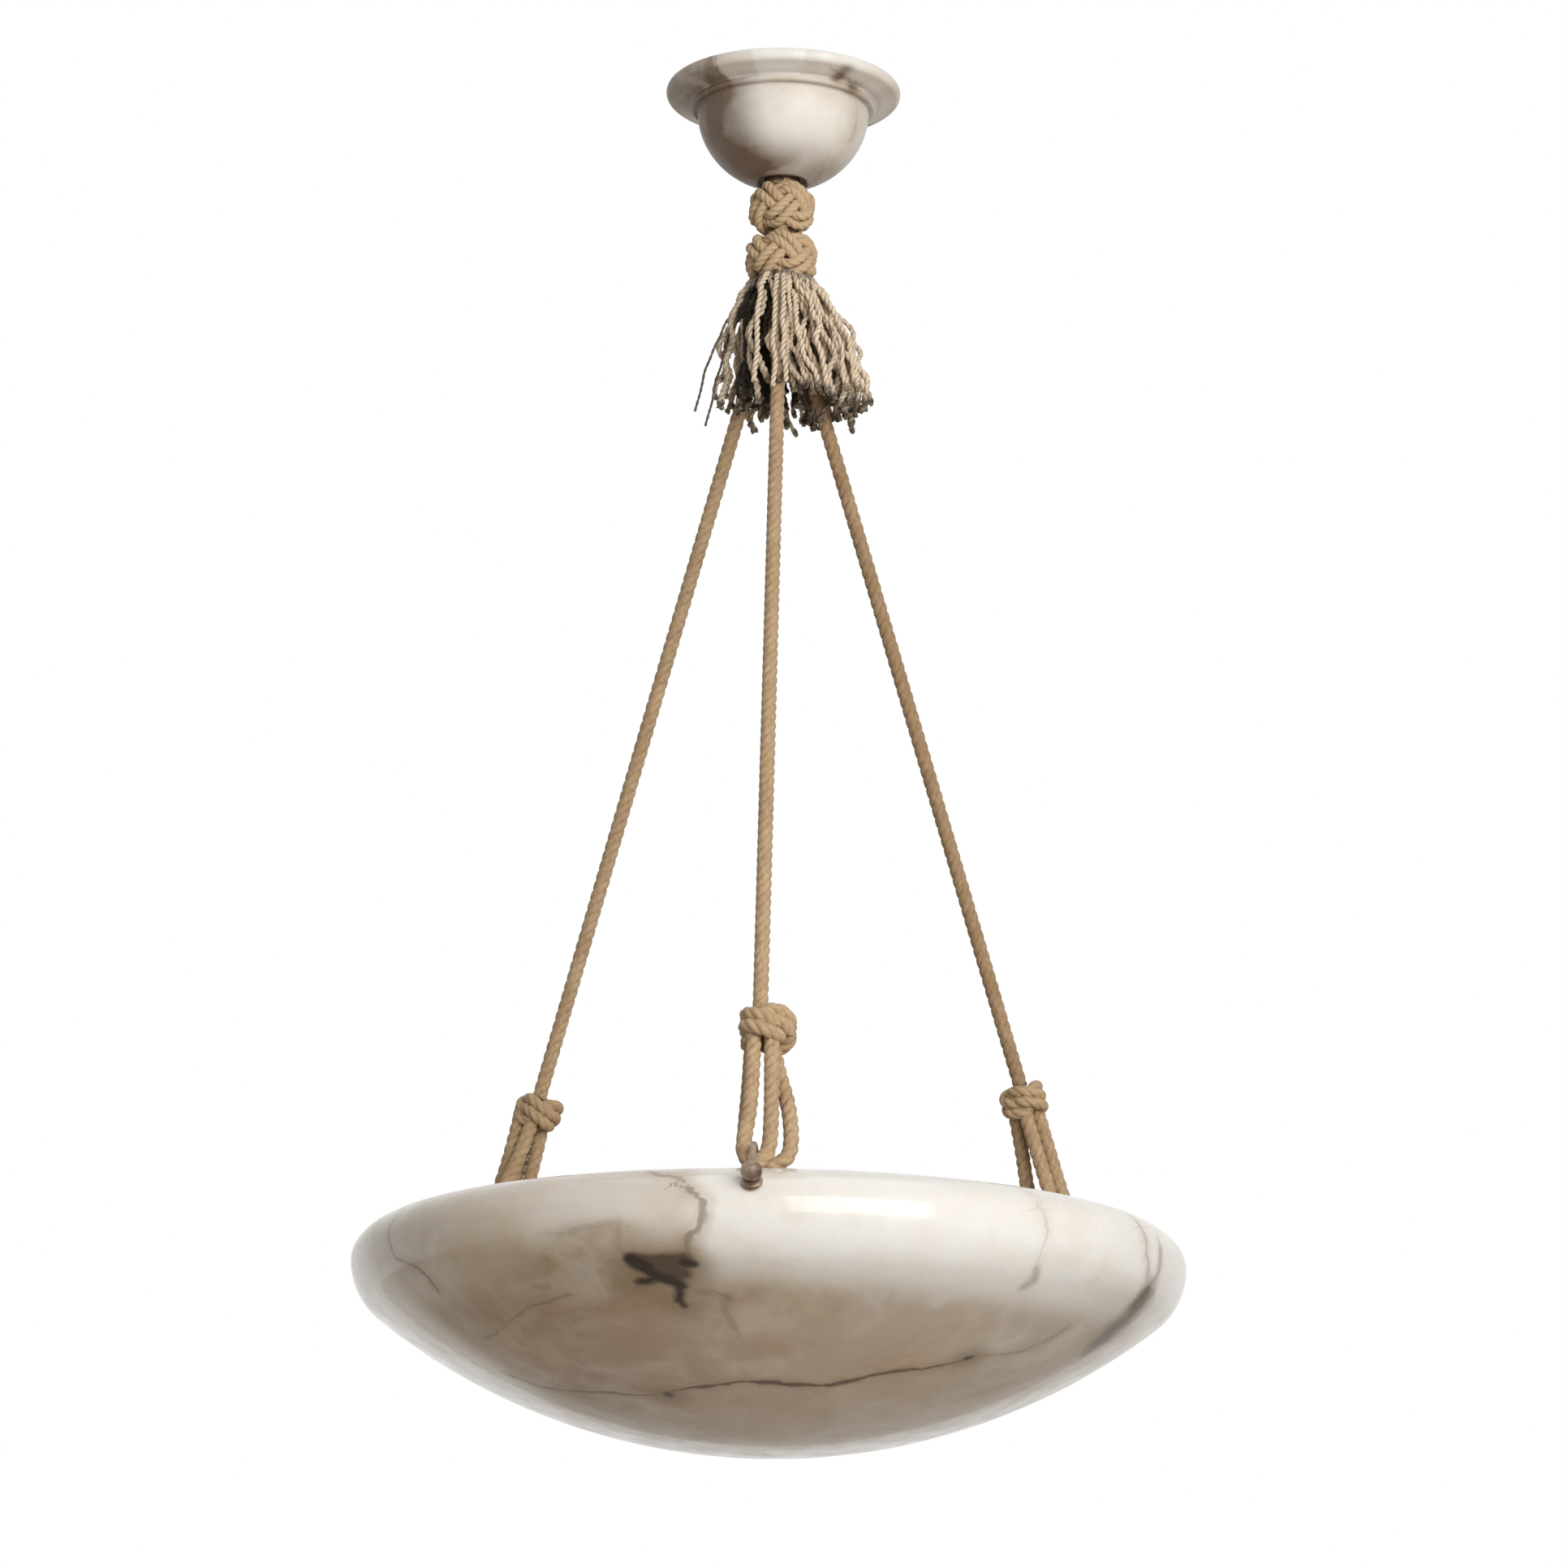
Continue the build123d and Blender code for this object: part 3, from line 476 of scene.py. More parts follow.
def twisted(line, width, strands, lay_length, sides, plump=0.6, tone=0.6, swell=1.0, start=0.0):
    """Vertices, faces, fibre coordinates and tones of twisted strands along an evenly spaced line."""
    count = len(line)
    ahead = unit(np.gradient(line, axis=0))
    across = np.zeros_like(line)
    across[0] = unit(np.cross(ahead[0], (0.31, 0.17, 0.93)))
    for spot in range(1, count):
        kept = across[spot - 1] - ahead[spot] * (across[spot - 1] @ ahead[spot])
        across[spot] = kept / np.linalg.norm(kept)
    beside = np.cross(ahead, across)
    length = np.concatenate([[0], np.cumsum(np.linalg.norm(np.diff(line, axis=0), axis=1))])
    swell = np.ones(count) * swell
    thick = plump * width / 2
    reach = width / 2 - thick
    ring = np.arange(sides) * 2 * math.pi / sides
    low, side = np.meshgrid(np.arange(count - 1) * sides, np.arange(sides), indexing="ij")
    after = (side + 1) % sides
    quads = [low + side, low + after, low + sides + after, low + sides + side]
    quads = np.stack(quads, axis=-1).reshape(-1, 4)
    here, there = np.repeat(length[:-1], sides), np.repeat(length[1:], sides)
    left = np.tile(np.arange(sides), count - 1) / sides
    right = left + 1 / sides
    quad_lay = np.stack([left, here, right, here, right, there, left, there], axis=1).reshape(-1, 2)
    verts, faces, lay_at = [], [], []
    for strand in range(strands):
        turn = 2 * math.pi * (length / lay_length + strand / strands) + start
        out = np.cos(turn)[:, None] * across + np.sin(turn)[:, None] * beside
        round_it = -np.sin(turn)[:, None] * across + np.cos(turn)[:, None] * beside
        run = unit(ahead + round_it * (reach * 2 * math.pi / lay_length))
        over = np.cross(run, out)
        middle = line + out * (reach * swell)[:, None]
        spots = middle[:, None] + (thick * swell)[:, None, None] * (
            np.cos(ring)[None, :, None] * out[:, None] + np.sin(ring)[None, :, None] * over[:, None])
        first = strand * count * sides
        verts.append(spots.reshape(-1, 3))
        faces += (quads + first).tolist()
        faces.append([first + corner for corner in reversed(range(sides))])
        faces.append([first + (count - 1) * sides + corner for corner in range(sides)])
        lay_at += [quad_lay, np.tile((0.5, length[0]), (sides, 1)), np.tile((0.5, length[-1]), (sides, 1))]
    tones = np.tile(np.repeat(np.ones(count) * tone, sides), strands)
    return np.concatenate(verts), faces, np.concatenate(lay_at), tones


def cord_mesh(name, parts, material):
    """One mesh from the vertices, faces, fibre coordinates and tones of one or more cords."""
    faces = []
    first = 0
    for part_verts, part_faces, _, _ in parts:
        faces += [[first + corner for corner in face] for face in part_faces]
        first += len(part_verts)
    mesh = bpy.data.meshes.new(name)
    mesh.from_pydata(np.concatenate([p[0] for p in parts]).tolist(), [], faces)
    layer = mesh.uv_layers.new(name="lay")
    layer.data.foreach_set("uv", np.concatenate([p[2] for p in parts]).astype(np.float32).ravel())
    tones = mesh.attributes.new("tone", "FLOAT", "POINT")
    tones.data.foreach_set("value", np.concatenate([p[3] for p in parts]).astype(np.float32))
    mesh.materials.append(material)
    mesh.update()
    mesh.shade_smooth()
    return mesh


def laid(line, tone, start):
    """A length of the three-strand rope, its crowns a little proud of its size."""
    return twisted(line, 1.04 * ROPE, 3, ROPE_LAY, 14, plump=0.64, tone=tone, start=start)


def radial(points, number):
    """Points drawn in millimetres outward, sideways and up, turned to one of the three ropes, in metres."""
    turn = np.array(Matrix.Rotation(ROPE_TURNS[number], 3, "Z"))
    return np.array(points) @ turn.T * MM


rope_fibre = fibre_finish(
    "rope_fibre", (0.62, 0.455, 0.28), (0.33, 0.21, 0.112), (0.10, 0.06, 0.03), streaks=7.0, bump=0.5)
LEAN = math.radians(19.02)
HANG = np.array((184.0, 0.0, -644.5))
ALONG = np.array((-math.sin(LEAN), 0.0, math.cos(LEAN)))
ASIDE = np.array((math.cos(LEAN), 0.0, math.sin(LEAN)))
DRIFT = [(0.0, 0.4), (0.8, -1.8), (-2.4, -3.6)]
RISE = [0.0, 8.0, 0.0]
ROPE_OUT, ROPE_TOP, BEND, BELOW_BEND, SLOPE = 4.68, -55.7, -124.2, -190.7, 0.3449
for number, tone in enumerate((0.55, 0.32, 0.58)):
    out, sideways = DRIFT[number]
    end = HANG + ALONG * (80.0 + RISE[number]) + (out, sideways, 0)
    drawn = [(ROPE_OUT, 0, ROPE_TOP), (ROPE_OUT, 0, BEND),
             (ROPE_OUT + SLOPE * (BEND - BELOW_BEND), 0.1 * sideways, BELOW_BEND), tuple(end)]
    line = evenly(route("rope_route", radial(drawn, number)), 0.9 * MM)
    name = f"laid_rope_{number + 1}"
    mesh = cord_mesh(name, [laid(line, tone, number)], rope_fibre)
    place(name, mesh, "hanger", "rope", f"rope_{number + 1}")


# Turk's-head knots.
# Two round ornamental knots tied over the three ropes, the lower one wider, of a thinner laid cord.
# The cord goes over and under itself in three leads and is led round twice; a packed core fills the middle,
# at the darkest tone as painted shade inside the knot.
HEAD_CORD, LEADS, BIGHTS, PASSES = 5.6, 3, 5, 2


def woven(radius, height, middle_z, shift):
    """The lines of a ball knot, each pass of its cord laid beside the last on the ball."""
    t = np.linspace(0, 2 * math.pi * LEADS, 180 * LEADS)
    phase = t * BIGHTS / LEADS + shift
    lift = math.radians(39) * np.cos(phase)
    ball = np.array((radius, radius, height))
    line = np.stack([np.cos(lift) * np.cos(t), np.cos(lift) * np.sin(t), np.sin(lift)], axis=1) * ball
    ahead = np.roll(line, -1, axis=0) - np.roll(line, 1, axis=0)
    ahead[0], ahead[-1] = line[1] - line[-2], line[1] - line[-2]
    beside = unit(np.cross(line / ball**2, ahead))
    lines = []
    for step in range(PASSES):
        led = line + beside * (step - (PASSES - 1) / 2) * HEAD_CORD * 0.97
        led = led / np.linalg.norm(led / ball, axis=1, keepdims=True)
        led = led + unit(led / ball**2) * (0.36 * HEAD_CORD * np.sin(2 * phase))[:, None]
        lines.append((led + (0, 0, middle_z)) * MM)
    return lines


def packed_core(radius, low, high):
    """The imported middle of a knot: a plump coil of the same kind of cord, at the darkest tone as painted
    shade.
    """
    cord = 4.0
    turns = (high - low) / cord
    t = np.linspace(0, 1, int(60 * turns))
    belly = radius * np.sqrt(1 - 0.4 * (2 * t - 1)**2)
    line = np.stack([belly * np.cos(2 * math.pi * turns * t), belly * np.sin(2 * math.pi * turns * t),
                     low + (high - low) * t], axis=1) * MM
    return twisted(evenly(line, 1.2 * MM), cord * MM, 3, 9 * MM, 8, tone=0.0)


for label, radius, height, middle_z, low, high, shift in (
        ("upper_turks_head", 15.2, 14.4, -73.0, -86.5, -59.5, 0.4),
        ("lower_turks_head", 16.8, 14.2, -102.8, -115.0, -90.5, 1.3)):
    parts = [packed_core(radius - 4.0, low, high)]
    for line in woven(radius, height, middle_z, shift):
        line = evenly(line, 0.8 * MM)
        parts.append(twisted(line, HEAD_CORD * MM, 3, 11.5 * MM, 12, plump=0.62, tone=0.85))
    place(label + "_weave", cord_mesh(label + "_weave", parts, rope_fibre), "hanger", "rope", label)


# Tassel.
# A skirt of grey-beige two-ply yarns bound under the lower knot; they spring out and lean to one side.
# They are knobbly and uneven and dark at the cut ends; painted shade darkens the yarns at the left, the inner
# layers, the roots under the knot and the yarns seen through the parting; a few have strayed.
yarn_wool = fibre_finish(
    "yarn_wool", (0.86, 0.71, 0.535), (0.024, 0.016, 0.010), (0.33, 0.245, 0.16), streaks=5.0, bump=0.8)
BOUND_Z, PARTED_FROM, PARTED_TO, PARTING = -113.0, -72, -38, -57
rng = np.random.default_rng(26)


def wavering(size, t):
    """A sideways drift along a yarn that grows from its root, with kinks."""
    kinks = np.interp(t, np.linspace(0, 1, 14), rng.normal(0, size, 14))
    eased = np.convolve(np.pad(kinks, 3, mode="edge"), np.ones(7) / 7, mode="valid")
    return (eased * np.sqrt(t))[:, None]


def flowing(size, direction, t, seed):
    """A drift that neighbouring yarns share, so that they bunch and run together."""
    drift = [noise.noise((2.4 * direction[0], 2.4 * direction[1], 3.2 * step + seed)) for step in t]
    return (size * np.array(drift) * np.sqrt(t))[:, None]


parts = []
t = np.linspace(0, 1, 80)
s = t[:, None]
for count, spread in ((18, 0.36), (28, 0.58), (32, 0.80), (36, 1.0)):
    outermost = spread > 0.9
    for yarn in range(count):
        round_to = 360 * (yarn + rng.uniform(-0.45, 0.45)) / count - 180
        parted = PARTED_FROM < round_to < PARTED_TO
        if parted and outermost:
            continue
        angle = math.radians(round_to - 90)
        direction = np.array((math.cos(angle), 0.88 * math.sin(angle), 0.0))
        reach = spread * rng.uniform(0.9, 1.08)
        drop = rng.uniform(68, 78) if -26 < round_to < 16 else rng.uniform(71, 83)
        skew = np.array((11.0 * rng.uniform(0.7, 1.2), 0, 0))
        start = direction * (6.0 + 7.0 * spread) + (0, 0, BOUND_Z)
        hip = direction * (7.0 + 18.0 * reach) + 0.1 * skew + (0, 0, BOUND_Z - 6.5)
        knee = direction * (9.0 + 27.0 * reach) + 0.6 * skew + (0, 0, BOUND_Z - 0.5 * drop)
        tip = direction * (8.0 + 33.0 * reach) + skew + (0, 0, BOUND_Z - drop)
        line = (1 - s)**3 * start + 3 * s * (1 - s)**2 * hip + 3 * s**2 * (1 - s) * knee + s**3 * tip
        aside = np.cross(direction, (0, 0, 1))
        opening = 3.5 * math.exp(-((round_to - PARTING) / 24)**2) * np.sign(round_to - PARTING) * outermost
        line = line + (wavering(2.4, t) + flowing(9, direction, t, 0) - opening * np.sqrt(s)) * aside
        line = line + (wavering(2.4, t) + flowing(6, direction, t, 9)) * direction
        line = evenly(line * MM, 1.1 * MM)
        along = np.linspace(0, 1, len(line))
        knobs = 1 + 0.24 * np.interp(along, np.linspace(0, 1, 20), rng.uniform(-1, 1, 20))
        knobs *= 1 + 0.25 * ramp(along, 0.93, 1.0)
        # Painted shade: yarns towards the left and in the inner layers are darkened, the yarns in the parting
        # are painted near black, and the roots under the knot are darkened; the cut ends are darker too.
        shade = ramp(-round_to, -20, 45) * (1 - 0.8 * ramp(-round_to, 74, 86))
        tone = rng.choice((0.85, 0.95, 1.05, 1.2)) * (1 - 0.4 * shade)
        tone -= 2.4 * parted + (0.4 + 0.8 * shade) * (spread < 0.5) + (0.3 + 0.6 * shade) * (spread < 0.7)
        tone = tone * (1 - 0.7 * ramp(along, 0.92, 0.99)) * ramp(along, -0.06, 0.2)
        width = rng.uniform(2.8, 4.0) * MM
        lay_length = rng.uniform(6.0, 12.0) * MM
        parts.append(twisted(
            line, width, 2, lay_length, 8, plump=0.66, tone=tone, swell=knobs, start=rng.uniform(0, 6)))
for start, hip, tip, width, tone in (
        ((-11.0, -5.0, -114.0), (-36, -6, -140), (-47, -10, -196), 1.7, 0.2),
        ((-11.0, -5.0, -114.0), (-31, -8, -146), (-40, -4, -203), 1.6, 0.2),
        ((-11.0, -5.0, -114.0), (-31, 0, -138), (-38, 8, -188), 1.4, 0.2),
        ((-7.0, -12.5, -115.5), (-13.5, -29, -121), (-14, -34, -186), 3.6, 1.0),
        ((1.25, -12.5, -115.5), (1.0, -32, -121), (2.5, -38, -187), 3.4, 1.0),
        ((-1.5, -12.5, -115.5), (-4.5, -32, -121), (-3.0, -37, -190), 3.2, 1.0)):
    line = (1 - s)**2 * np.array(start) + 2 * s * (1 - s) * np.array(hip) + s**2 * np.array(tip)
    line = line + wavering(1.4, t) * np.array((0.7, 0.5, 0))
    parts.append(twisted(evenly(line * MM, 1.2 * MM), width * MM, 2, 8 * MM, 8, plump=0.62, tone=tone))
place("tassel_yarns", cord_mesh("tassel_yarns", parts, yarn_wool), "hanger", "yarn", "tassel")


# Lower knots.
# Each rope is knotted on itself above the bowl, where its two loops leave it.
# It is an overhand knot of the doubled rope, drawn up tight and lumpy.
t = np.linspace(0, 2 * math.pi, 260)
for number, (size, turned, shift) in enumerate((
        (1.0, 1.5, (0, 3.4, 0)), (0.87, 2.6, (0, 0, 0)), (0.87, 4.4, (-2.6, 0, 0)))):
    span = size * (9.6 + 2.6 * np.cos(3 * t))
    drawn = np.stack([span * np.cos(2 * t), span * np.sin(2 * t), -3.7 * size * np.sin(3 * t)], axis=1)
    outward = np.stack([np.cos(2 * t), np.sin(2 * t), 0 * t], axis=1)
    above = unit(np.cross(outward, np.gradient(drawn, axis=0)))
    spin = np.array(Matrix.Rotation(turned, 3, "Z")).T
    out, sideways = DRIFT[number]
    middle = HANG + ALONG * (71.5 + RISE[number]) + (out, sideways, 0) + shift
    parts = []
    for side in (-3.2 * size, 3.2 * size):
        spun = (drawn + side * above) @ spin
        placed = middle + spun[:, :1] * ASIDE + spun[:, 1:2] * np.array((0, 1, 0)) + spun[:, 2:] * ALONG
        line = evenly(radial(placed, number), 0.8 * MM)
        parts.append(twisted(line, 7.7 * size * MM, 3, 16.5 * MM, 14, plump=0.64, tone=0.6))
    mesh = cord_mesh(f"rope_knot_{number + 1}", parts, rope_fibre)
    place(f"rope_knot_{number + 1}", mesh, "hanger", "rope", f"lower_knot_{number + 1}")


# Loops.
# Under each knot the rope makes two bights: the outer one tight on the bail, the inner one slack beside it.
# They are the same laid rope, and hang on the bail's top run.
LOOP_TALL, INTO_KNOT = 70, 72
for number, bow in enumerate((0, 0, -3.6)):
    out, sideways = DRIFT[number]
    for label, offset, drawn in (
            ("outer", 4.35, [
                (-2.6, 72), (-2.8, 46), (-3.4, 22), (-6.0, 4.0), (-5.8, -4.8), (-1.0, -7.9), (3.4, -7.8),
                (7.4, -2.0), (7.8, 18), (7.2, 46), (6.2, 72)]),
            ("inner", -4.35, [
                (-4.0, 72), (-4.4, 44), (-6.0, 14), (-6.3, 0.5), (-1.5, -5.9), (9.5, -6.2), (17.0, -1.5),
                (18.2, 10), (16.0, 30), (9.5, 50), (5.6, 72)])):
        points = []
        for across, up in drawn:
            bowed = bow * up * (LOOP_TALL - up) / (LOOP_TALL / 2)**2
            shift = (out * (2 - up / LOOP_TALL), across + sideways * up / LOOP_TALL + bowed, 0)
            points.append(HANG + ASIDE * offset + ALONG * up * (1 + RISE[number] / INTO_KNOT) + shift)
        line = evenly(route("loop_route", radial(points, number)), 0.8 * MM)
        name = f"{label}_bight_{number + 1}"
        mesh = cord_mesh(name, [laid(line, 0.56, 1.7 * number)], rope_fibre)
        bight = place(name, mesh, "hanger", "rope", f"{label}_loop_{number + 1}")


# Rim bails and ball pins.
# Bronze wire bent over the lip with an eye at its outer end, and a ball-headed pin through eye and stone.
# The bronze is dark brown, rubbed brighter on the ball and the bends.
bronze = aged_finish(
    "dark_bronze", (0.34, 0.25, 0.18), (0.12, 0.085, 0.06), scale=120.0, smooth=0.36, rough=0.6, bump=0.3,
    Metallic=0.7)
for number in (1, 2, 3):
    dress(bronze, f"rim_bail_{number}", f"ball_pin_{number}")


# Bowl.
# One block of alabaster turned to a shallow dish with a rounded, turned-in rim, drilled for the three pins.
# Milky white at the right, grey-brown at the left with dark veins and a brown flaw, polished to a waxy gloss;
# painted shade darkens the underside and the rim's top, painted light pales the inside, and a painted
# reflection lies along the left limb.
DISH, DISH_Z, DISH_WALL = 345.19, -431.81, 12.0
RIM_OUT, RIM_Z, RIM, LIP_RISE = 190.0, -677.0, 35.0, 22.0
BOTTOM = DISH_Z - DISH
rim_from = math.degrees(math.atan2(RIM_Z - DISH_Z, RIM_OUT))
rim_end = RIM_Z + RIM * math.sin(math.radians(rim_from))


def bowl_spot(azimuth, height):
    """A point on the bowl's outside, from its direction off the near side and its height."""
    if height > RIM_Z:
        radius = RIM_OUT + RIM * math.sqrt(max(0.0, 1 - ((height - RIM_Z) / LIP_RISE)**2))
    elif height > rim_end:
        radius = RIM_OUT + math.sqrt(RIM**2 - (height - RIM_Z)**2)
    else:
        radius = math.sqrt(max(0.0, DISH**2 - (height - DISH_Z)**2))
    turn = math.radians(azimuth)
    return (radius * math.sin(turn), -radius * math.cos(turn), height)


def bowl_line(*drawn):
    """A drawn vein on the bowl, from directions and heights."""
    return [bowl_spot(*spot) for spot in drawn]


bowl_profile = (
    [(0.05, BOTTOM)] + arc((0, DISH_Z), (DISH, DISH), -89.5, rim_from, 110)
    + arc((RIM_OUT, RIM_Z), (RIM, RIM), rim_from, 0, 26)[1:]
    + arc((RIM_OUT, RIM_Z), (RIM, LIP_RISE), 0, 90, 34)[1:]
    + arc((188.9, -659.5), (4.5, 4.5), 90, 216.6, 12) + [(190.0, -668.5), (195.0, -675.2), (200.0, -682.0)]
    + arc((200.6, -691.5), (6.0, 6.0), 30, -50, 6)
    + arc((0, DISH_Z), (DISH - DISH_WALL, DISH - DISH_WALL), rim_from - 2, -89.5, 44)
    + [(0.05, BOTTOM + DISH_WALL)])
bowl_mesh = lathe_mesh("bowl_stone", bowl_profile, 512, 0.35)
spots = np.array([v.co for v in bowl_mesh.vertices]) / MM
vector_layer(bowl_mesh, "vein_a", veins(spots, [
    (bowl_line((-19.0, -656.5), (-15.0, -660.5), (-11.9, -664.3), (-10.2, -669.8), (-8.4, -677.4),
               (-8.5, -684.6), (-9.2, -690.0), (-10.8, -694.9), (-10.8, -699.4), (-11.0, -703.0)), 2.1, 0.52),
    (bowl_line((-61.1, -668), (-61.8, -680.8), (-61.1, -691.4), (-56.1, -697.2), (-55.0, -702.5),
               (-56.1, -708)), 1.6, 0.5),
    (bowl_line((38.0, -661), (38.2, -671), (39.0, -684.2), (39.2, -695.7)), 1.6, 0.2),
    (bowl_line((66.0, -678), (66.5, -683.2), (66.8, -690.6), (66.2, -699.3), (67.2, -705.5)), 3.2, 0.45),
    (bowl_line((66.2, -699.3), (67.2, -705.5), (69.0, -711.0), (69.5, -718.6), (71.0, -724.7)), 6.0, 0.8),
    (bowl_line((-57.7, -729.5), (-41.7, -721.2), (-31.3, -717.3)), 1.5, 0.3),
    (bowl_line((118, -668), (124, -690), (137, -712), (150, -724), (171, -729)), 1.8, 0.75),
    (bowl_line((-150, -662), (-141, -684), (-146, -702), (-133, -716), (-122, -741)), 1.6, 0.65)]))
vector_layer(bowl_mesh, "vein_b", veins(spots, [
    (bowl_line((-66, -744), (-63.4, -750.3), (-46, -756), (-28.2, -758)), 1.9, 0.7),
    (bowl_line((-24.0, -757.2), (-18.5, -755.5), (-2.7, -754.7), (7.2, -755.1), (16, -755.3), (21.8, -752)),
     2.5, 0.92),
    (bowl_line((21.8, -752), (25, -749.9), (33.1, -746.4), (38.5, -743.5), (41.8, -739.7)), 2.0, 0.85),
    (bowl_line((60.0, -659.3), (60.4, -669.0), (61.3, -682.7), (63.5, -692.0)), 3.0, 0.35),
    (bowl_line((-28.0, -689.2), (-24.6, -688.5), (-20.1, -687.4), (-20.4, -698.1), (-19.3, -701.5)),
     2.4, 0.16),
    (bowl_line((-10.4, -719), (-8.6, -717), (-6.2, -720.7), (-7.0, -726), (-5.4, -736)), 1.9, 0.22),
    (bowl_line((41.6, -739.4), (52.5, -734.4), (55.9, -721.3)), 1.3, 0.3),
    (bowl_line((100, -748), (122, -756), (160, -757), (-168, -746)), 1.6, 0.65)]))
turn, height = direction_of(spots), spots[:, 2]
left_of_crack = ramp(-turn, 8.5, 12.5) * ramp(turn, -75, -55) * ramp(height, -712, -692)
# Darker and browner towards the underside, more so at the left: partly the stone's brown and partly painted
# shade where the bowl faces down.
under = ramp(-height, 699, 722) * (1 - 0.2 * ramp(-height, 752, 768))
# A painted reflection of the bright surround: a pale band along the left limb, with the brown taken out under
# it.
painted_limb_reflection = ramp(-turn, 61, 71) * ramp(turn, -160, -125) * ramp(-height, 688, 708) * ramp(height, -762, -740)
brown_and_shade = 0.32 * left_of_crack + under * (0.52 + 0.34 * ramp(-turn, -5, 35))
brown_and_shade += soft_patches(
    turn, height, (0.45, (-30, -702), (13, 10)), (0.4, (-22, -689), (7, 5)), (0.3, (-60, -690), (14, 22)),
    (0.8, (-19, -710), (13, 9)), (0.25, (3, -721), (16, 8)), (0.4, (66, -706), (7, 16)),
    (0.5, (150, -690), (24, 22)), (0.35, (-120, -715), (22, 22)), (0.5, (-33, -755), (10, 5)),
    (0.4, (-33, -716), (11, 8)), (0.35, (-50, -759), (13, 6)), (0.5, (68, -712), (4, 10)),
    (0.35, (-28, -698), (6, 6)), (0.2, (-29, -721), (9, 6)), (0.3, (77, -726), (7, 18)))
brown_and_shade *= 1 - 0.95 * painted_limb_reflection
pink = 0.18 * ramp(-height, 712, 726) + soft_patches(
    turn, height, (0.7, (-35, -719), (5, 5)), (0.75, (-24, -727), (6, 6)), (0.65, (-24, -738), (8, 6)),
    (0.5, (0, -741), (10, 5)), (0.5, (6, -763), (16, 5)), (0.35, (-18, -762), (14, 5)),
    (0.25, (24, -738), (12, 9)), (0.4, (-140, -716), (20, 16)))
milky = ramp(turn, -11.0, -7.5) * ramp(-turn, -78, -60) * ramp(height + 4 * ramp(turn, 15, 40), -718, -701)
# The milky white is painted weaker on the rim's top and full lower down: painted shade on the top and painted
# light where the curve turns from the light.
white = milky * (0.45 + 0.55 * ramp(-height, 664, 692)) + 0.85 * painted_limb_reflection
white += soft_patches(turn, height, (0.2, (-28, -672), (16, 9)), (0.25, (-21, -683), (6, 6)))
in_dish = np.linalg.norm(spots - (0, 0, DISH_Z), axis=1) < DISH - DISH_WALL / 2
in_rim = (np.hypot(spots[:, 0], spots[:, 1]) < 207) & (height < -657)
inside = np.where(height < -700, in_dish, in_rim)
# Painted light: the inside of the dish and rim is painted paler, with less brown and pink.
brown_and_shade, pink, white = brown_and_shade * (1 - 0.65 * inside), pink * (1 - 0.6 * inside), white + 0.25 * inside
vector_layer(bowl_mesh, "shades", np.clip(np.stack([brown_and_shade, pink, white], axis=1), 0, 1))
bowl_stone = alabaster_finish(
    "bowl_alabaster", (0.82, 0.785, 0.73), (0.68, 0.57, 0.43), (0.325, 0.212, 0.106),
    cloud_scale=9.0, smooth=0.2, rough=0.34, coat=0.45)


def flaw_gap(tree, spot, *strokes):
    """Distance in metres from the edge of the nearest of a few thick strokes drawn on the bowl."""
    nearest = None
    for start, end, width in strokes:
        start, end = Vector(bowl_spot(*start)) * MM, Vector(bowl_spot(*end)) * MM
        run = end - start
        off = vector_step(tree, "SUBTRACT", spot, start)
        share = vector_step(tree, "DOT_PRODUCT", off, run / run.length_squared)
        foot = vector_step(tree, "SCALE", run, scale=calc(tree, "ADD", share, 0.0, clamp=True))
        gap = calc(tree, "SUBTRACT", vector_step(tree, "DISTANCE", off, foot), width * MM)
        nearest = gap if nearest is None else calc(tree, "SMOOTH_MIN", nearest, gap, 1.2 * MM)
    return nearest


tree = bowl_stone.node_tree
shader = tree.nodes["Principled BSDF"]
colour = shader.inputs["Base Color"].links[0].from_socket
spot = node(tree, "TexCoord").outputs["Object"]
for scale, size in ((70.0, 5.0), (230.0, 2.2)):
    push = node(tree, "TexNoise", {"Vector": spot, "Scale": scale, "Detail": 2.0}).outputs["Color"]
    push = vector_step(tree, "SUBTRACT", push, (0.5, 0.5, 0.5))
    spot = vector_step(tree, "ADD", spot, vector_step(tree, "SCALE", push, scale=size * MM))
smear = flaw_gap(
    tree, spot, ((39.2, -701.1), (40.0, -705.8), 1.5), ((40.0, -705.8), (39.2, -709.7), 1.2),
    ((-9.9, -718.0), (-9.0, -718.6), 1.4), ((-6.3, -720.0), (-5.6, -721.0), 1.4),
    ((-36.0, -712.4), (-33.8, -713.2), 0.9), ((-34, -755), (-29, -758), 1.6))
mass = flaw_gap(tree, spot, ((-18.2, -704.4), (-11.8, -705.2), 5.6), ((-16.0, -708.5), (-12.4, -709.8), 5.0))
dark = flaw_gap(
    tree, spot, ((-19.0, -704.0), (-17.4, -707.2), 4.4), ((-17.8, -707.4), (-16.2, -710.8), 3.3),
    ((-16.2, -710.8), (-12.8, -714.4), 3.4), ((-19.0, -713.1), (-16.2, -711.8), 2.4),
    ((-12.9, -714.4), (-14.0, -721.2), 2.3), ((-14.0, -721.2), (-13.4, -723.5), 1.6),
    ((-11.6, -705.8), (-10.2, -706.4), 2.0), ((-27.9, -758.6), (-27.0, -758.2), 1.9),
    ((41.6, -740.2), (42.2, -739.6), 1.2))
band = flaw_gap(tree, spot, ((66.5, -701), (68.8, -713), 6.0), ((68.8, -713), (70.8, -723), 8.0))
around = calc(tree, "MINIMUM", mass, dark)
